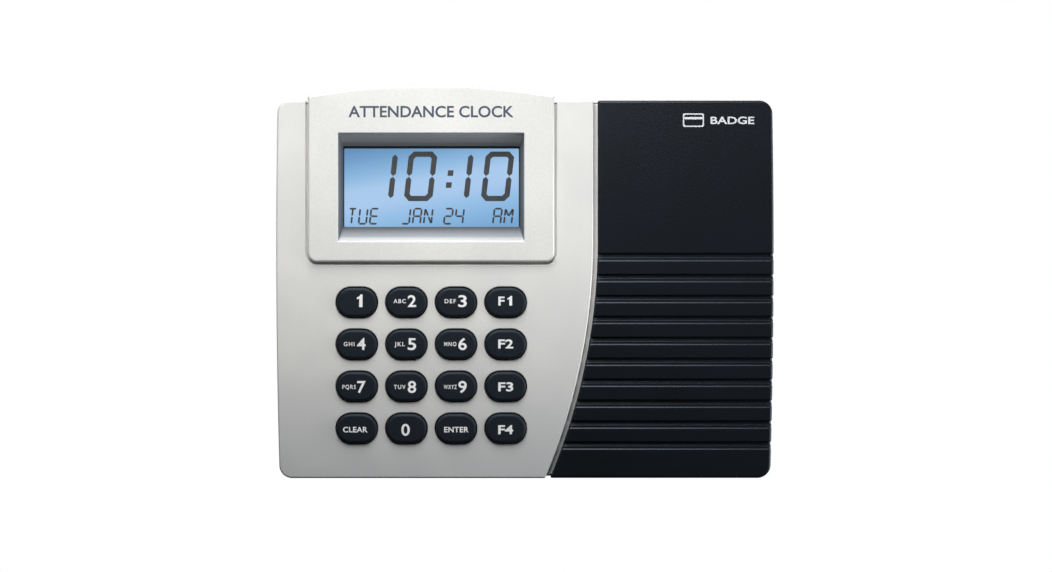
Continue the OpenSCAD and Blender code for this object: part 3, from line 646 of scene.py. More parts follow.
def ledge_outline(inset=0.0):
    """The strip beside the split that goes under the black cover, a little inside the body's outline."""
    lap, width = 1.2 * MM, 9.8 * MM
    outer = (split_curve[0], split_curve[1], SPLIT_R + width, 1)
    inner = (split_curve[0], split_curve[1], SPLIT_R - 1 * MM, -1)
    bottom_x = split_curve[0] + math.sqrt((SPLIT_R + width) ** 2 - (half_h + SPLIT_BEND_Z) ** 2)
    sides = [line_side(0, lap - half_h, 0, -1), outer, line_side(straight_x + width, 0, 1, 0),
             line_side(0, half_h - lap, 0, 1), line_side(straight_x - 1 * MM, 0, -1, 0), inner]
    corners = [((bottom_x - width, -half_h), 0.3 * MM), ((bottom_x, -half_h), 0.3 * MM),
               ((straight_x + width, SPLIT_BEND_Z), None), ((straight_x + width, half_h), 0.3 * MM),
               ((straight_x - 1 * MM, half_h), 0.3 * MM), ((straight_x - 1 * MM, SPLIT_BEND_Z), None)]
    return outline(sides, corners, inset, 4)


ledge = shell_mesh("ledge", rings_of(
    (ledge_outline(0.2 * MM), channel_d), (ledge_outline(), channel_d - 0.2 * MM),
    (ledge_outline(), parting_d)))
cover = add_piece("silver_front_cover", joined("silver front cover", silver_face, seat_floor, hood, ledge),
                  silver, BODY, "silver_cover", "front_cover")
smooth_by_area(cover)

# ---------------------------------------------------------------------------
# Display bezel
# A second silver moulding that stands in the cover's seat. Its top is arched, and
# hollowed flanks lead down to the display. Four screws hold it from behind.

RECESS_W, RECESS_H = 74.4 * MM, 43.2 * MM    # the recess at the bezel's face
VIEW_W, VIEW_H = 70.8 * MM, 32.4 * MM        # and at the lens, where its middle is VIEW_UP higher
VIEW_UP = 0.4 * MM
RECESS_RIM = 0.35 * MM      # radius of the rim round the recess
BEZEL_EDGE = 0.9 * MM       # and of the bezel's outer edges
LENS_T = 1.4 * MM           # how far the opening goes on beside the lens
FRAME_LAP = 8.2 * MM        # how much wider the pocket behind it is
bezel_d = -bezel_low.y
lens_d = -lens_low.y


def recess_rings():
    """The recess: a fine rounded rim, then flanks that are part slope and part quarter-round hollow,
    sunk = (t + sqrt(1 - (1 - t)^2)) / 2 at the share t of the way in, then the frame round the lens
    and the way back to the bezel's rear face. Also gives t for each ring, which the painted shade on the
    flanks follows."""

    def loop(inset):
        return rectangle(view_x, view_z, RECESS_W, RECESS_H, inset)

    rings = rounded_rim(loop, bezel_d, RECESS_RIM, 4)
    inward = [0.0] * len(rings)
    for t in 1 - np.cos(np.linspace(0.3, math.pi / 2, 14)):
        sunk = (t + math.sqrt(1 - (1 - t) ** 2)) / 2
        w, h = RECESS_W + (VIEW_W - RECESS_W) * t, RECESS_H + (VIEW_H - RECESS_H) * t
        depth = bezel_d - RECESS_RIM - (bezel_d - RECESS_RIM - lens_d) * sunk
        rings.append((rectangle(view_x, view_z + VIEW_UP * t, w, h), depth))
        inward.append(t)
    opening = rectangle(view_x, view_z + VIEW_UP, VIEW_W, VIEW_H)
    pocket = rectangle(view_x, view_z + VIEW_UP, VIEW_W + FRAME_LAP, VIEW_H + FRAME_LAP)
    rings += [(opening, lens_d - LENS_T), (pocket, lens_d - LENS_T), (pocket, seat_front_d)]
    return rings_of(*rings), np.array(inward + [1.0] * 3)


bezel_rings = rings_of(*rounded_rim(bezel_outline, bezel_d, BEZEL_EDGE, 6), (bezel_outline(), seat_front_d),
                       (bezel_outline(1.8 * MM), seat_front_d))
hollow_rings, inward = recess_rings()
bezel_mesh = shell_mesh("display bezel", bezel_rings, hollow_rings)
# Painted shade darkens the recess's flanks towards the lens: it is 0.6 t^2 on the upper flank, 1.1 t on the
# lower one and 0.9 sqrt(t) on the side flanks.
# Round a corner upright goes from 0 to 1 and shares it out between a level flank and a side one.
beside = np.ptp(hollow_rings[:, :, 0], axis=1)[:, None] / 2 - np.abs(hollow_rings[:, :, 0] - view_x)
below = np.ptp(hollow_rings[:, :, 2], axis=1)[:, None] / 2 - np.abs(
    hollow_rings[:, :, 2] - hollow_rings[:, :, 2].mean(1, keepdims=True))
upright = np.clip(below / (np.abs(beside) + np.abs(below) + 1e-9), 0, 1)
t = inward[:, None]
level = np.where(hollow_rings[:, :, 2] > view_z, 0.6 * t ** 2, 1.1 * t)
hollow_painted_shade = (1 - upright) * level + upright * 0.9 * np.sqrt(t)
# The painted shade is 0 on the bezel's outside and follows the values above in the recess
painted_shade_density = np.concatenate([np.zeros(bezel_rings[:, :, 0].size), hollow_painted_shade.ravel()])
bezel_mesh.attributes.new("painted_recess_shade", "FLOAT", "POINT").data.foreach_set("value", painted_shade_density)
bezel = add_piece("arched_display_bezel", bezel_mesh, silver_paint("silver paint with painted recess shade", "painted_recess_shade"), BODY,
                  "silver_bezel", "display_bezel")
smooth_by_area(bezel)
softened("bezel_screws", "bezel_fixing_screws", 0.15 * MM, screw_zinc, "screw_steel")


PRINT = 0.03 * MM           # thickness of printed ink


def lettering(name, text, size, weight, middle, depth, finish, body, slot, tracking=1.0):
    """Printed words as thin closed plates. size is the width and the height of the capitals, middle is
    (x, z) of the words' middle, depth is where the surface under the print lies, weight thickens the
    strokes and tracking spaces out the letters."""
    curve = bpy.data.curves.new(name, "FONT")
    curve.body = text
    curve.size = size[1] / 0.73
    curve.offset = weight
    curve.space_character = tracking
    curve.resolution_u = 4
    curve.extrude = PRINT
    holder = bpy.data.objects.new(name, curve)
    bpy.context.scene.collection.objects.link(holder)
    plates = bpy.data.meshes.new_from_object(holder.evaluated_get(bpy.context.evaluated_depsgraph_get()))
    bpy.data.objects.remove(holder)
    bpy.data.curves.remove(curve)
    points = points_of(plates)
    low, high = points[:, 0].min(), points[:, 0].max()
    across = (points[:, 0] - (low + high) / 2) * size[0] / (high - low) + middle[0]
    placed = np.column_stack([across, -depth - points[:, 2], points[:, 1] + middle[1] - size[1] / 2])
    plates.vertices.foreach_set("co", placed.ravel())
    closed = bmesh.new()
    closed.from_mesh(plates)
    bmesh.ops.remove_doubles(closed, verts=closed.verts, dist=0.002 * MM)
    closed.to_mesh(plates)
    closed.free()
    return add_piece(name, plates, finish, body, slot)


ink_blue = grained("dark blue ink", (0.040, 0.057, 0.084), (0.052, 0.070, 0.100), 2 * MM, 0.45)
TITLE_Z = 71.1 * MM
lettering("bezel_title", "ATTENDANCE CLOCK", (66 * MM, 4.6 * MM), 0.12 * MM, (bezel_mid_x, TITLE_Z), bezel_d,
          ink_blue, BODY, "silver_bezel")

# ---------------------------------------------------------------------------
# Display
# Blue backlit liquid crystal glass in a black frame behind a clear acrylic lens.
# Conductive rubber strips connect the glass to the board.


def backlit_blue():
    """The lit glass. Its colour follows 0.174 X - Z about the glass's middle, in metres: deep blue at
    the upper left, pale in a slanting band across the middle, and blue again at the lower right."""
    made, nodes, links, shader = new_material("backlit glass")
    shader.inputs["Roughness"].default_value = 0.35
    shader.inputs["Base Color"].default_value = (0.006, 0.010, 0.020, 1.0)
    shader.inputs["Specular IOR Level"].default_value = 0.2
    place = nodes.new("ShaderNodeTexCoord")
    centred = nodes.new("ShaderNodeMapping")
    centred.inputs["Location"].default_value = (-view_x, 0.0, -view_z)
    apart = nodes.new("ShaderNodeSeparateXYZ")
    slanting = nodes.new("ShaderNodeMath")
    slanting.operation = "MULTIPLY_ADD"
    slanting.inputs[1].default_value = 0.174
    downward = nodes.new("ShaderNodeMath")
    downward.operation = "MULTIPLY"
    downward.inputs[1].default_value = -1.0
    links.new(place.outputs["Object"], centred.inputs["Vector"])
    links.new(centred.outputs["Vector"], apart.inputs["Vector"])
    links.new(apart.outputs["Z"], downward.inputs[0])
    links.new(apart.outputs["X"], slanting.inputs[0])
    links.new(downward.outputs["Value"], slanting.inputs[2])
    span = nodes.new("ShaderNodeMapRange")
    span.inputs["From Min"].default_value = -20 * MM
    span.inputs["From Max"].default_value = 20 * MM
    links.new(slanting.outputs["Value"], span.inputs["Value"])
    glow = ramp_of(nodes, links, span.outputs["Result"], [
        (0.00, (0.14, 0.31, 0.55)), (0.09, (0.17, 0.37, 0.63)), (0.25, (0.27, 0.50, 0.78)),
        (0.41, (0.43, 0.64, 0.91)), (0.56, (0.43, 0.64, 0.91)), (0.70, (0.34, 0.57, 0.86)),
        (0.86, (0.25, 0.49, 0.78)), (1.00, (0.19, 0.41, 0.69))])
    links.new(glow, shader.inputs["Emission Color"])
    shader.inputs["Emission Strength"].default_value = 1.0
    return made


blue_glass = backlit_blue()
frame_black = grained("frame black", (0.012, 0.012, 0.014), (0.018, 0.018, 0.020), 1 * MM, 0.5)
guide_milk = grained("milky acrylic", (0.80, 0.88, 0.92), (0.86, 0.92, 0.95), 12 * MM, 0.25)
led_resin = grained("lamp resin", (0.80, 0.76, 0.45), (0.88, 0.84, 0.55), 2 * MM, 0.2)
dress("lcd_polarisers", blue_glass)
dress("lcd_glass", blue_glass)
softened("lcd_frame", "display_frame", 0.2 * MM, frame_black, "black_case")
dress("lcd_light_guide", guide_milk)
dress("backlight_leds", led_resin)
dress("zebra_strips", carbon)


def clear_lens():
    """Clear acrylic: nearly all of the light goes straight through, and faint smears catch some gloss."""
    made, nodes, links, shader = new_material("clear acrylic")
    shader.inputs["Base Color"].default_value = (0.10, 0.12, 0.14, 1.0)
    shader.inputs["Alpha"].default_value = 0.06
    smears = noise_of(nodes, links, 20 * MM)
    gloss = nodes.new("ShaderNodeMapRange")
    gloss.inputs["To Min"].default_value = 0.04
    gloss.inputs["To Max"].default_value = 0.12
    links.new(smears, gloss.inputs["Value"])
    links.new(gloss.outputs["Result"], shader.inputs["Roughness"])
    return made


dress("display_lens", clear_lens())


def mask_hole(inset=0.0):
    """The clear window in a black print round the lens. Its border is a little wider at the top, and that
    wider part is painted shade under the recess's upper lip.
    """
    return rectangle(view_x, view_z - 0.05 * MM, 70.0 * MM, 31.4 * MM, inset)


mask_d = -lens_high.y
mask_edge = rectangle(view_x, view_z + VIEW_UP, VIEW_W + 2.4 * MM, VIEW_H + 2.4 * MM, hole=False)
# A thin black border round the window: print at the sides, and painted shade from the bezel's upper lip in
# its wider top
mask = shell_mesh("lens border and painted lip shade", rings_of((mask_edge, mask_d), (mask_edge, mask_d - PRINT)),
                  rings_of((mask_hole(), mask_d), (mask_hole(), mask_d - PRINT)))
add_piece("lens_border_and_painted_lip_shade", mask, frame_black, BODY, "lens")

SLANT = 0.115               # how far the figures lean, as a share of their height
BITE = 0.15                 # how much of a large figure's corner is cut off
STROKES = {
    # Each stroke runs through places in a cell that is one wide and one high.
    "a": [(0, 1), (1, 1)], "b": [(1, 1), (1, 0.5)], "c": [(1, 0.5), (1, 0)], "d": [(0, 0), (1, 0)],
    "e": [(0, 0), (0, 0.5)], "f": [(0, 0.5), (0, 1)], "g": [(0, 0.5), (1, 0.5)],
    "i": [(0.5, 1), (0.5, 0.5)], "l": [(0.5, 0.5), (0.5, 0)], "h": [(0, 1), (0.5, 0.5)],
    "j": [(1, 1), (0.5, 0.5)], "m": [(0.5, 0.5), (1, 0)],
    "n": [(0, 0.5), (0, 1 - BITE * 0.55), (BITE, 1), (1 - BITE, 1), (1, 1 - BITE * 0.55), (1, 0.5)],
    "u": [(1, 0.5), (1, BITE * 0.55), (1 - BITE, 0), (BITE, 0), (0, BITE * 0.55), (0, 0.5)],
}
LETTERS = {"T": "ail", "U": "bcdef", "E": "adefg", "J": "bcd", "A": "abcefg", "N": "bcefhm",
           "2": "abged", "4": "fgbc", "M": "bcefhj", "0": "nu", "1": "bc"}


def stroke_prism(path, width, front_d, thickness):
    """Rings of a flat bar along a path, with mitred bends and pointed ends. At a bend the two flanks
    lie half a width along (n1 + n2) / (1 + n1.n2), where n1 and n2 are the sides' directions."""
    along = np.diff(path, axis=0)
    along /= np.linalg.norm(along, axis=1, keepdims=True)
    across = np.column_stack([-along[:, 1], along[:, 0]])
    half = width / 2
    bend = half * (across[:-1] + across[1:]) / (1 + (across[:-1] * across[1:]).sum(1, keepdims=True))
    left = [path[:1] + half * (along[:1] + across[:1]), path[1:-1] + bend,
            path[-1:] - half * (along[-1:] - across[-1:])]
    right = [path[:1] + half * (along[:1] - across[:1]), path[1:-1] - bend,
             path[-1:] - half * (along[-1:] + across[-1:])]
    flat = np.concatenate([path[:1], *right, path[-1:], np.concatenate(left)[::-1]])
    return rings_of((flat, front_d), (flat, front_d - thickness))


def readout(text, left, bottom, cell_w, cell_h, pitch, width, gap):
    """Strokes of a word, slanted to the right. Each stroke stops short of both its ends by the gap."""
    for place, letter in enumerate(text):
        for name in LETTERS[letter]:
            path = np.array(STROKES[name]) * (cell_w, cell_h)
            for end, towards in ((0, 1), (-1, -2)):
                step = path[towards] - path[end]
                path[end] += gap * step / np.linalg.norm(step)
            path[:, 0] += path[:, 1] * SLANT + place * pitch + left
            path[:, 1] += bottom
            yield path, width


glass_front_d = -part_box("lcd_polarisers")[0].y
view_left = view_x - 35.6 * MM
view_bottom = view_z - 15.8 * MM
big_z = view_bottom + 11.45 * MM
small_z = view_bottom + 1.3 * MM
# A figure's cell, width and height, then the pitch, the strokes' width and the gap between them
BIG = (9.35 * MM, 17.8 * MM, 0.0, 2.15 * MM, 0.12 * MM)
SMALL = (3.0 * MM, 6.05 * MM, 4.45 * MM, 0.75 * MM, 0.10 * MM)
strokes = []
for text, across in (("1", 9.7), ("0", 25.5), ("1", 40.1), ("0", 56.4)):
    strokes += readout(text, view_left + across * MM, big_z, *BIG)
for text, across in (("TUE", 1.8), ("JAN", 23.5), ("24", 40.5), ("AM", 60.2)):
    strokes += readout(text, view_left + across * MM, small_z, *SMALL)
DOT = 2.25 * MM             # side of the square dots between the hours and the minutes
stroke_d = glass_front_d + 2 * PRINT
dots = []
for across, up in ((42.5, 5.4), (43.2, 10.2)):
    dot = rectangle(0, 0, DOT, DOT, radius=0.1 * MM, hole=False)
    dot += np.column_stack([dot[:, 1] * SLANT, np.zeros(len(dot))])
    dot += (view_left + across * MM, big_z + up * MM)
    dots.append(swept_mesh("dot", rings_of((dot, stroke_d), (dot, stroke_d - PRINT))))
prisms = [swept_mesh("stroke", stroke_prism(path, width, stroke_d, PRINT)) for path, width in strokes]
dark_crystal = grained("dark crystal", (0.045, 0.045, 0.048), (0.055, 0.055, 0.058), 3 * MM, 0.4)
add_piece("dark_display_strokes", joined("dark strokes", *prisms, *dots), dark_crystal, BODY, "polariser")

# ---------------------------------------------------------------------------
# Keys
# Sixteen soft-touch caps with printed legends. Each slides in its own hole on a
# silicone dome and has a flange that keeps it behind the cover.

CAP_W, CAP_H = 16.3 * MM, 11.8 * MM
DIGIT_H, LETTER_H, WORD_H, F_H = 4.8 * MM, 1.7 * MM, 2.2 * MM, 3.6 * MM      # capitals' heights
DIGIT_W, WORD_W, F_W = 3.4 * MM, 9.8 * MM, 6.0 * MM
BOLD = 0.12 * MM            # how much the digits' strokes are thickened on each side
DIGIT_X, ZERO_X, ONE_X, F_X = 2.45 * MM, -0.1 * MM, 1.8 * MM, -0.5 * MM     # right of the key's middle
SPREAD_X, SPREAD_Z = 1.018, 1.02        # the print's columns and rows are further apart than the keys
# The letters beside each digit and their width in millimetres
LETTERED = {"2": ("ABC", 4.9), "3": ("DEF", 4.5), "4": ("GHI", 4.3), "5": ("JKL", 4.1), "6": ("MNO", 4.9),
            "7": ("PQRS", 5.4), "8": ("TUV", 4.7), "9": ("WXYZ", 5.2)}
key_rubber = grained("key coating", (0.0020, 0.0034, 0.0070), (0.0030, 0.0048, 0.0095), 0.6 * MM, 0.62,
                     relief=0.01 * MM)
key_shader = key_rubber.node_tree.nodes["Principled BSDF"]
key_shader.inputs["Specular IOR Level"].default_value = 0.40
key_shader.inputs["Specular Tint"].default_value = (0.70, 0.85, 1.0, 1.0)
legend_white = grained("legend print", (0.80, 0.81, 0.82), (0.86, 0.87, 0.88), 1 * MM, 0.5)


def key_rings(node):
    """A cap's surface: a soft edge falling by a quarter of an ellipse, a straight wall, the retaining
    flange and the stem behind it."""
    x, z = middle_of(node)
    low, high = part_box(node)
    top_d, back_d = -low.y, -high.y
    flange_d = face_d - WALL - 0.1 * MM
    reach, fall = 1.1 * MM, 1.3 * MM

    def loop(inset):
        return stadium(x, z, CAP_W, CAP_H, inset)

    edge = [(loop(reach * (1 - math.sin(a))), top_d - fall * (1 - math.cos(a)))
            for a in np.linspace(0, math.pi / 2, 10)]
    flange, stem, flange_t = loop(-1.2 * MM), loop(3.4 * MM), 1.1 * MM
    return rings_of(*edge, (loop(0), flange_d), (flange, flange_d), (flange, flange_d - flange_t),
                    (stem, flange_d - flange_t), (stem, back_d))


def pip(x, z, depth):
    """A small touch mark on a key: half a ball of radius r whose middle lies 0.55 r under the cap's top."""
    r = 0.5 * MM
    angles = np.linspace(0, 2 * math.pi, 17)[:-1]
    circle = np.column_stack([np.cos(angles), np.sin(angles)])
    return swept_mesh("pip", rings_of(*[(circle * r * math.cos(a) + (x, z), depth + r * (math.sin(a) - 0.55))
                                        for a in np.linspace(0, 1.5, 7)]))


def figure_one(x, z, w, h, depth):
    """A printed figure 1 of width w and height h about (x, z): an upright bar with a slanting flag."""
    bar = [(0.40, 0.0), (1.0, 0.0), (1.0, 1.0), (0.62, 1.0)]
    flag = [(0.45, 0.86), (0.0, 0.76), (0.0, 0.61), (0.40, 0.68)]
    loop = np.array(bar + flag) * (w, h) + (x - w / 2, z - h / 2)
    return shell_mesh("figure one", rings_of((loop, depth + PRINT), (loop, depth - PRINT)))


def disc(x, z, radius, hole=False):
    """A circle about (x, z). A hole runs clockwise."""
    angles = np.linspace(0, 2 * math.pi, 41)[:-1]
    loop = np.column_stack([x + radius * np.cos(angles), z + radius * np.sin(angles)])
    return loop[::-1] if hole else loop


def turned(name, node, profile):
    """A round part about the node's middle. The profile gives radius and height over the main board."""
    x, z = middle_of(node)
    return swept_mesh(name, rings_of(*[(disc(x, z, r * MM), mat_back_d + h * MM) for r, h in profile]))


# The silicone mat is one sheet with a hollow dome under every key and a carbon pill in every dome.
# The dome's and the pill's profiles are radii and heights over the main board, in millimetres.
MAT_T = 1.2 * MM
DOME = [(3.2, 4.0), (3.5, 3.85), (3.7, 3.4), (5.0, 1.4), (5.5, 1.15), (5.8, 1.1), (5.8, 0.2), (5.0, 0.2),
        (4.5, 0.9), (3.4, 2.0)]
PILL = [(1.65, 2.6), (1.8, 2.5), (1.8, 1.4), (1.7, 1.3)]
mat_low, mat_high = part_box("keypad_mat")
mat_back_d = -mat_high.y
mat_front_d = mat_back_d + MAT_T
mat_x, mat_z = middle_of("keypad_mat")
mat_w, mat_h = mat_high.x - mat_low.x, mat_high.z - mat_low.z
mat_holes = [disc(*middle_of(key), 5.6 * MM, True) for key in keys]


def mat_edge(inset):
    """The mat seen from the front."""
    return rectangle(mat_x, mat_z, mat_w, mat_h, inset, 2 * MM, False)


mat_sheet = shell_mesh(
    "mat sheet", rings_of(*rounded_rim(mat_edge, mat_front_d, 0.3 * MM, 3), (mat_edge(0.0), mat_back_d)),
    *[rings_of((hole, mat_front_d), (hole, mat_back_d)) for hole in mat_holes])
smooth_by_area(add_piece("silicone_mat_sheet", mat_sheet, silicone, BODY, "silicone", "keypad_mat"))
for key in keys:
    x, z = middle_of(key)
    dome = add_piece(f"{key}_dome", turned("dome", key, DOME), silicone, BODY, "silicone")
    smooth_by_area(dome)
    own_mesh(dome)
    pill = add_piece(f"{key}_carbon_pill", turned("pill", key, PILL), carbon, key, "black_rubber",
                     "contact_pills")
    smooth_by_area(pill)

for key in keys:
    short = key[4:]
    x, z = middle_of(key)
    top_d = -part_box(key)[0].y
    cap = shell_mesh(key, key_rings(key))
    if short == "5":
        cap = joined(key, cap, pip(x - 5.8 * MM, z + 0.2 * MM, top_d), pip(x + 5.8 * MM, z + 0.2 * MM, top_d))
    smooth_by_area(add_piece(f"{key}_cap", cap, key_rubber, key, "key_black", key))
    x = mat_x + SPREAD_X * (x - mat_x)
    z = mat_z + SPREAD_Z * (z - mat_z) + 0.2 * MM
    printed = (top_d, legend_white, key, "key_black")
    if short in ("clear", "enter"):
        lettering(f"{key}_legend", short.upper(), (WORD_W, WORD_H), 0.07 * MM, (x, z), *printed, 1.05)
    elif short == "f1":
        lettering("key_f1_legend", "F", (2.5 * MM, F_H), BOLD, (x - 2.2 * MM, z), *printed)
        add_piece("key_f1_figure", figure_one(x + 1.1 * MM, z, 1.9 * MM, F_H + 2 * BOLD, top_d), *printed[1:])
    elif short[0] == "f":
        lettering(f"{key}_legend", short.upper(), (F_W, F_H), BOLD, (x + F_X, z), *printed)
    elif short == "1":
        one = figure_one(x + ONE_X, z, 2.2 * MM, DIGIT_H + 0.28 * MM, top_d)
        add_piece("key_1_legend", one, *printed[1:])
    else:
        digit_x = x + (ZERO_X if short == "0" else DIGIT_X)
        lettering(f"{key}_legend", short, (DIGIT_W, DIGIT_H), BOLD, (digit_x, z), *printed)
    if short in LETTERED:
        letters, width = LETTERED[short]
        lettering(f"{key}_letters", letters, (width * MM, LETTER_H), 0.035 * MM, (x - DIGIT_X, z - 0.1 * MM),
                  *printed, 1.25)

# ---------------------------------------------------------------------------
# Badge reader
# The board, the wound antenna coil and the potted module behind the black cover.

copper = grained("enamelled copper", (0.45, 0.18, 0.07), (0.55, 0.24, 0.10), 1.2 * MM, 0.3, 0.9)
dress("reader_board", green_board)
softened("reader_module", "potted_reader_module", 0.4 * MM, epoxy, "chip_black")
softened("reader_board_screws", "reader_screws", 0.15 * MM, screw_zinc, "screw_steel")

COIL_TURNS = 10
COIL_WIRE = 0.5 * MM
COIL_CORNER = 9 * MM
coil_x, coil_z = middle_of("antenna_coil")
coil_low, coil_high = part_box("antenna_coil")
coil_w, coil_h = coil_high.x - coil_low.x, coil_high.z - coil_low.z
# Its section: how far in from the outer turn, and the depth, which dips between the turns
coil_section = [(a * COIL_WIRE, -coil_low.y - 0.14 * MM * (1 - abs(math.sin(math.pi * a))))
                for a in np.arange(0, COIL_TURNS + 0.1, 0.25)]
coil_section += [(COIL_TURNS * COIL_WIRE, -coil_high.y), (0.0, -coil_high.y)]
coil_rings = rings_of(*[(rectangle(coil_x, coil_z, coil_w, coil_h, a, COIL_CORNER - a, False), d)
                        for a, d in coil_section])
coil = add_piece("wound_antenna_coil", swept_mesh("coil", coil_rings, True), copper, BODY, "copper_coil",
                 "antenna_coil")
smooth_by_area(coil)

# ---------------------------------------------------------------------------
# Black reader cover
# Pebble-grained black plastic. Ten louvre grooves run from the curved left edge out
# through the right side, each a deep slot with a shallower step below it.

GROOVES = 10
GROOVE_PITCH = 8.38 * MM
GROOVE_TOP = 14.6 * MM      # upper edge of the first groove
GROOVE_DEEP = 1.1 * MM
GROOVE_WIDE = 3.6 * MM
NICK = 0.2 * MM             # how far the grooves cut into the right side
COVER_EDGE = 1.0 * MM       # radius of its outer edges
COVER_WALL, COVER_T = 2.86 * MM, 2.6 * MM       # thickness of its sides and of its front
# The groove's section: how far down from its upper edge, and how sunk as a share of its depth
GROOVE_INTO = np.array([0, 0.12, 0.35, 1.30, 1.45, 1.90, 2.00, 2.95, 3.05, 3.35, 3.60]) * MM
GROOVE_SUNK = np.array([0, 0.35, 1.00, 1.00, 0.90, 0.40, 0.34, 0.32, 0.28, 0.03, 0.00])
cover_d = -black_low.y
black_straight_x = straight_x + CHANNEL_W
black_curve_r = SPLIT_R + CHANNEL_W


def groove_shape(z):
    """How sunk the cover is at height z, from 0 on a rib to 1 on a groove's floor: a steep fall from
    the upper edge, a narrow floor, a lip, a nearly level step, and a second lip up to the next rib."""
    into = (GROOVE_TOP - z) % GROOVE_PITCH
    inside = (GROOVE_TOP - z >= 0) & (GROOVE_TOP - z < GROOVES * GROOVE_PITCH) & (into < GROOVE_WIDE)
    return np.where(inside, np.interp(into, GROOVE_INTO, GROOVE_SUNK), 0.0)


def left_edge(z):
    """X of the cover's left edge: straight above the bend, then a circle, with small round ends."""
    below = np.minimum(z - SPLIT_BEND_Z, 0.0)
    edge = black_straight_x - black_curve_r + np.sqrt(black_curve_r ** 2 - below ** 2)
    over = np.clip(np.abs(z) - (half_h - SPLIT_CORNER_R), 0, SPLIT_CORNER_R)
    return edge + SPLIT_CORNER_R - np.sqrt(SPLIT_CORNER_R ** 2 - over ** 2)


def right_edge(z):
    """X of the cover's right edge: the bowed side, nicked by the grooves, with round corners."""
    bow = half_w - BOW_R + np.sqrt(BOW_R ** 2 - (z - BOW_Z) ** 2)
    over = np.clip(np.abs(z) - (half_h - CORNER_R), 0, CORNER_R)
    return bow - CORNER_R + np.sqrt(CORNER_R ** 2 - over ** 2) - NICK * groove_shape(z)


def spread(low, high, edge, count, steps=6):
    """Positions from low to high: close together over the rounded edge at each end, then even."""
    near = edge * (1 - np.cos(np.linspace(0, math.pi / 2, steps + 1)))
    return np.concatenate([low + near, np.linspace(low + edge, high - edge, count)[1:-1], high - near[::-1]])


# The front is a surface over the height and the share of the way from the left edge to the right one.
# It lies GROOVE_DEEP times groove_shape under the cover's face, and a drop of E - sqrt(E^2 - (E - rim)^2)
# rounds its outer edges, where rim is the distance from the outline, up to E = COVER_EDGE.
groove_rows = [GROOVE_TOP - GROOVE_PITCH * i - into for i in range(GROOVES)
               for into in np.concatenate([GROOVE_INTO, (GROOVE_INTO[1:] + GROOVE_INTO[:-1]) / 2])]
rows = np.unique(np.concatenate([
    spread(-half_h, half_h, COVER_EDGE, 60), np.array(groove_rows),
    half_h - CORNER_R * (1 - np.cos(np.linspace(0, math.pi / 2, 14))),
    CORNER_R * (1 - np.cos(np.linspace(0, math.pi / 2, 14))) - half_h]).round(7))
columns = spread(0.0, 1.0, 0.016, 60)
height, across = np.meshgrid(rows, columns, indexing="ij")
left, right = left_edge(height), right_edge(height)
width = left + (right - left) * across
to_side = np.minimum(width - left, right - width)
to_end = half_h - np.abs(height)
corner_x, corner_z = half_w - CORNER_R, half_h - CORNER_R
corner_out = np.hypot(np.maximum(width - corner_x, 0), np.maximum(np.abs(height) - corner_z, 0))
to_corner = np.where((width > corner_x) & (to_end < CORNER_R), CORNER_R - corner_out, 1.0)
rim = np.clip(np.minimum(np.minimum(to_side, to_end), np.maximum(to_corner, 0)), 0, COVER_EDGE)
drop = COVER_EDGE - np.sqrt(np.maximum(COVER_EDGE ** 2 - (COVER_EDGE - rim) ** 2, 0))
front = np.stack([width, -(cover_d - GROOVE_DEEP * groove_shape(height) - drop), height], -1)
n_rows, n_columns = height.shape
row, column = np.meshgrid(np.arange(n_rows - 1), np.arange(n_columns - 1), indexing="ij")
corner = row * n_columns + column
front_faces = np.stack([corner, corner + 1, corner + n_columns + 1, corner + n_columns], -1).reshape(-1, 4)
rim_loop = np.concatenate([
    np.arange(n_columns - 1), np.arange(n_rows - 1) * n_columns + n_columns - 1,
    (n_rows - 1) * n_columns + np.arange(n_columns - 1, 0, -1), np.arange(n_rows - 1, 0, -1) * n_columns])
front_points = front.reshape(-1, 3)
rim_points = front_points[rim_loop]
to_middle = np.array([(black_straight_x + half_w) / 2, 0.0, 0.0]) - rim_points
to_middle[:, 1] = 0
inner = rim_points + COVER_WALL * to_middle / np.linalg.norm(to_middle, axis=1, keepdims=True)
# Behind it stand the side walls and the flat inner face
levels = []
for source, depth in ((rim_points, parting_d + PARTING_BEVEL), (rim_points, parting_d), (inner, parting_d),
                      (inner, cover_d - COVER_T)):
    level = source.copy()
    level[:, 1] = -depth
    levels.append(level)
around = len(rim_loop)
first = len(front_points)
loops = [rim_loop] + [first + i * around + np.arange(around) for i in range(len(levels))]
side_faces = [np.stack([a, np.roll(a, -1), np.roll(b, -1), b], -1)[:, ::-1]
              for a, b in zip(loops, loops[1:])]
inner_fill = np.array(tessellate_polygon([[Vector((x, z, 0.0)) for x, _, z in levels[-1]]]))
tri = levels[-1][inner_fill]
inside_out = np.cross(tri[:, 1] - tri[:, 0], tri[:, 2] - tri[:, 0])[:, 1] < 0
inner_fill[inside_out] = inner_fill[inside_out][:, ::-1]
cover_mesh = bpy.data.meshes.new("black cover")
cover_mesh.from_pydata(
    np.concatenate([front_points, *levels]).tolist(), [],
    front_faces.tolist() + np.concatenate(side_faces).tolist() + loops[-1][inner_fill].tolist())


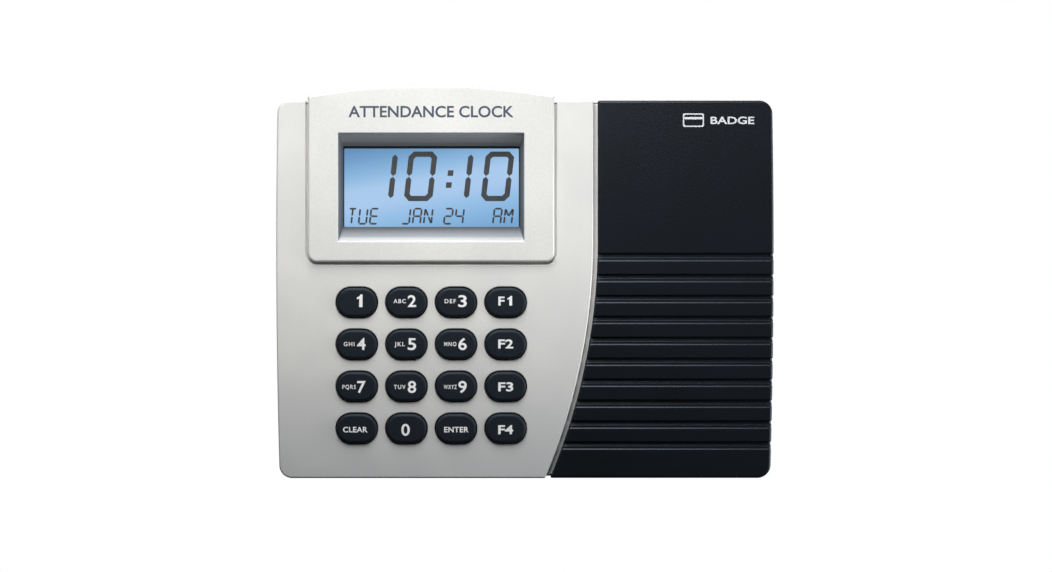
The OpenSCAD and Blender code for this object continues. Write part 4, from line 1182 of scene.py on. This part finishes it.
def pebble_black():
    """Black plastic with a pebble grain: round cells about 0.7 mm across, each a little hill, over a
    slow change from neutral to bluish black."""
    made, nodes, links, shader = new_material("pebble black")
    shader.inputs["Roughness"].default_value = 0.40
    shader.inputs["Specular IOR Level"].default_value = 0.44
    shader.inputs["Specular Tint"].default_value = (0.74, 0.86, 1.0, 1.0)
    drift = noise_of(nodes, links, 30 * MM, 2.0)
    black = ramp_of(nodes, links, drift, [(0.35, (0.0024, 0.0031, 0.0046)), (0.65, (0.0030, 0.0041, 0.0068))])
    links.new(black, shader.inputs["Base Color"])
    place = nodes.new("ShaderNodeTexCoord")
    cells = nodes.new("ShaderNodeTexVoronoi")
    cells.feature = "SMOOTH_F1"
    cells.inputs["Scale"].default_value = 1.0 / (0.7 * MM)
    links.new(place.outputs["Object"], cells.inputs["Vector"])
    bump_of(nodes, links, cells.outputs["Distance"], -0.03 * MM, shader)
    return made


black_pebble = pebble_black()
black_cover = add_piece("ribbed_reader_cover", cover_mesh, black_pebble, BODY, "black_cover", "reader_cover")
smooth_by_area(black_cover)

MARK_Z = 67.7 * MM          # height of the card's outline and the word
CARD_X, WORD_X = 67.4 * MM, 83.0 * MM
ink_grey = grained("light grey ink", (0.56, 0.58, 0.61), (0.62, 0.64, 0.67), 2 * MM, 0.45)
card = [rectangle(CARD_X, MARK_Z, w * MM, h * MM, radius=0.7 * MM, hole=hole)
        for w, h, hole in ((8.4, 5.4, False), (7.4, 4.4, True))]
stripe = rectangle(CARD_X, MARK_Z + 0.8 * MM, 7.6 * MM, 0.9 * MM, radius=0.05 * MM, hole=False)
card_mesh = shell_mesh("card", *[rings_of((loop, cover_d + PRINT), (loop, cover_d - PRINT)) for loop in card])
stripe_mesh = shell_mesh("stripe", rings_of((stripe, cover_d + PRINT), (stripe, cover_d - PRINT)))
add_piece("badge_card_mark", joined("card mark", card_mesh, stripe_mesh), ink_grey, BODY, "black_cover")
lettering("badge_word", "BADGE", (17.5 * MM, 3.0 * MM), 0.08 * MM, (WORD_X, MARK_Z), cover_d, ink_grey,
          BODY, "black_cover")

# ---------------------------------------------------------------------------
# Studio
# A long lens looks at the middle of the face against white. A broad light hangs
# above, a weaker one grazes the face from the right, and a third lights the back.


def soft_light(name, place, target, size, power, colour=(1.0, 1.0, 1.0)):
    """A square soft light at place that faces target."""
    lamp = bpy.data.lights.new(name, "AREA")
    lamp.size = size
    lamp.energy = power
    lamp.color = colour
    holder = bpy.data.objects.new(name, lamp)
    holder.location = place
    holder.rotation_euler = (Vector(target) - Vector(place)).to_track_quat("-Z", "Y").to_euler()
    bpy.context.scene.collection.objects.link(holder)


soft_light("overhead", (-0.05, -0.205, 0.255), (0, -0.04, 0), 0.26, 1.82, (1.0, 0.99, 0.975))
soft_light("side", (0.30, -0.10, -0.01), (0, -0.04, -0.02), 0.20, 0.80, (0.95, 0.97, 1.0))
soft_light("back fill", (0.4, 1.1, 0.15), (0, 0, 0), 0.8, 9.0)

# The room is pale below, grey at eye level and white above, and the camera sees plain white
world = bpy.data.worlds.new("studio")
bpy.context.scene.world = world
world.use_nodes = True
sky_nodes, sky_links = world.node_tree.nodes, world.node_tree.links
sky_place = sky_nodes.new("ShaderNodeTexCoord")
sky_apart = sky_nodes.new("ShaderNodeSeparateXYZ")
sky_links.new(sky_place.outputs["Generated"], sky_apart.inputs["Vector"])
sky_span = sky_nodes.new("ShaderNodeMapRange")
sky_span.inputs["From Min"].default_value = -1.0
sky_links.new(sky_apart.outputs["Z"], sky_span.inputs["Value"])
sky_colour = ramp_of(sky_nodes, sky_links, sky_span.outputs["Result"],
                     [(0.0, (0.62, 0.64, 0.68)), (0.5, (0.40, 0.42, 0.46)), (1.0, (0.95, 0.98, 1.0))])
white = sky_nodes.new("ShaderNodeBackground")
white.inputs["Color"].default_value = (1.0, 1.0, 1.0, 1.0)
gradient = sky_nodes["Background"]
sky_links.new(sky_colour, gradient.inputs["Color"])
gradient.inputs["Strength"].default_value = 0.06
ray = sky_nodes.new("ShaderNodeLightPath")
choose = sky_nodes.new("ShaderNodeMixShader")
sky_links.new(ray.outputs["Is Camera Ray"], choose.inputs["Fac"])
sky_links.new(gradient.outputs["Background"], choose.inputs[1])
sky_links.new(white.outputs["Background"], choose.inputs[2])
sky_links.new(choose.outputs["Shader"], sky_nodes["World Output"].inputs["Surface"])

bpy.context.scene.view_settings.view_transform = "Standard"

LENS, SENSOR = 100.0, 36.0
SEEN_W = 420.8 * MM                 # width that the frame takes in at the silver face
camera_data = bpy.data.cameras.new("camera")
camera_data.lens = LENS
camera_data.sensor_width = SENSOR
camera = bpy.data.objects.new("camera", camera_data)
camera.location = (0.36 * MM, -(face_d + SEEN_W * LENS / SENSOR), 1.3 * MM)
camera.rotation_euler = (math.pi / 2, 0, 0)
bpy.context.scene.collection.objects.link(camera)
bpy.context.scene.camera = camera
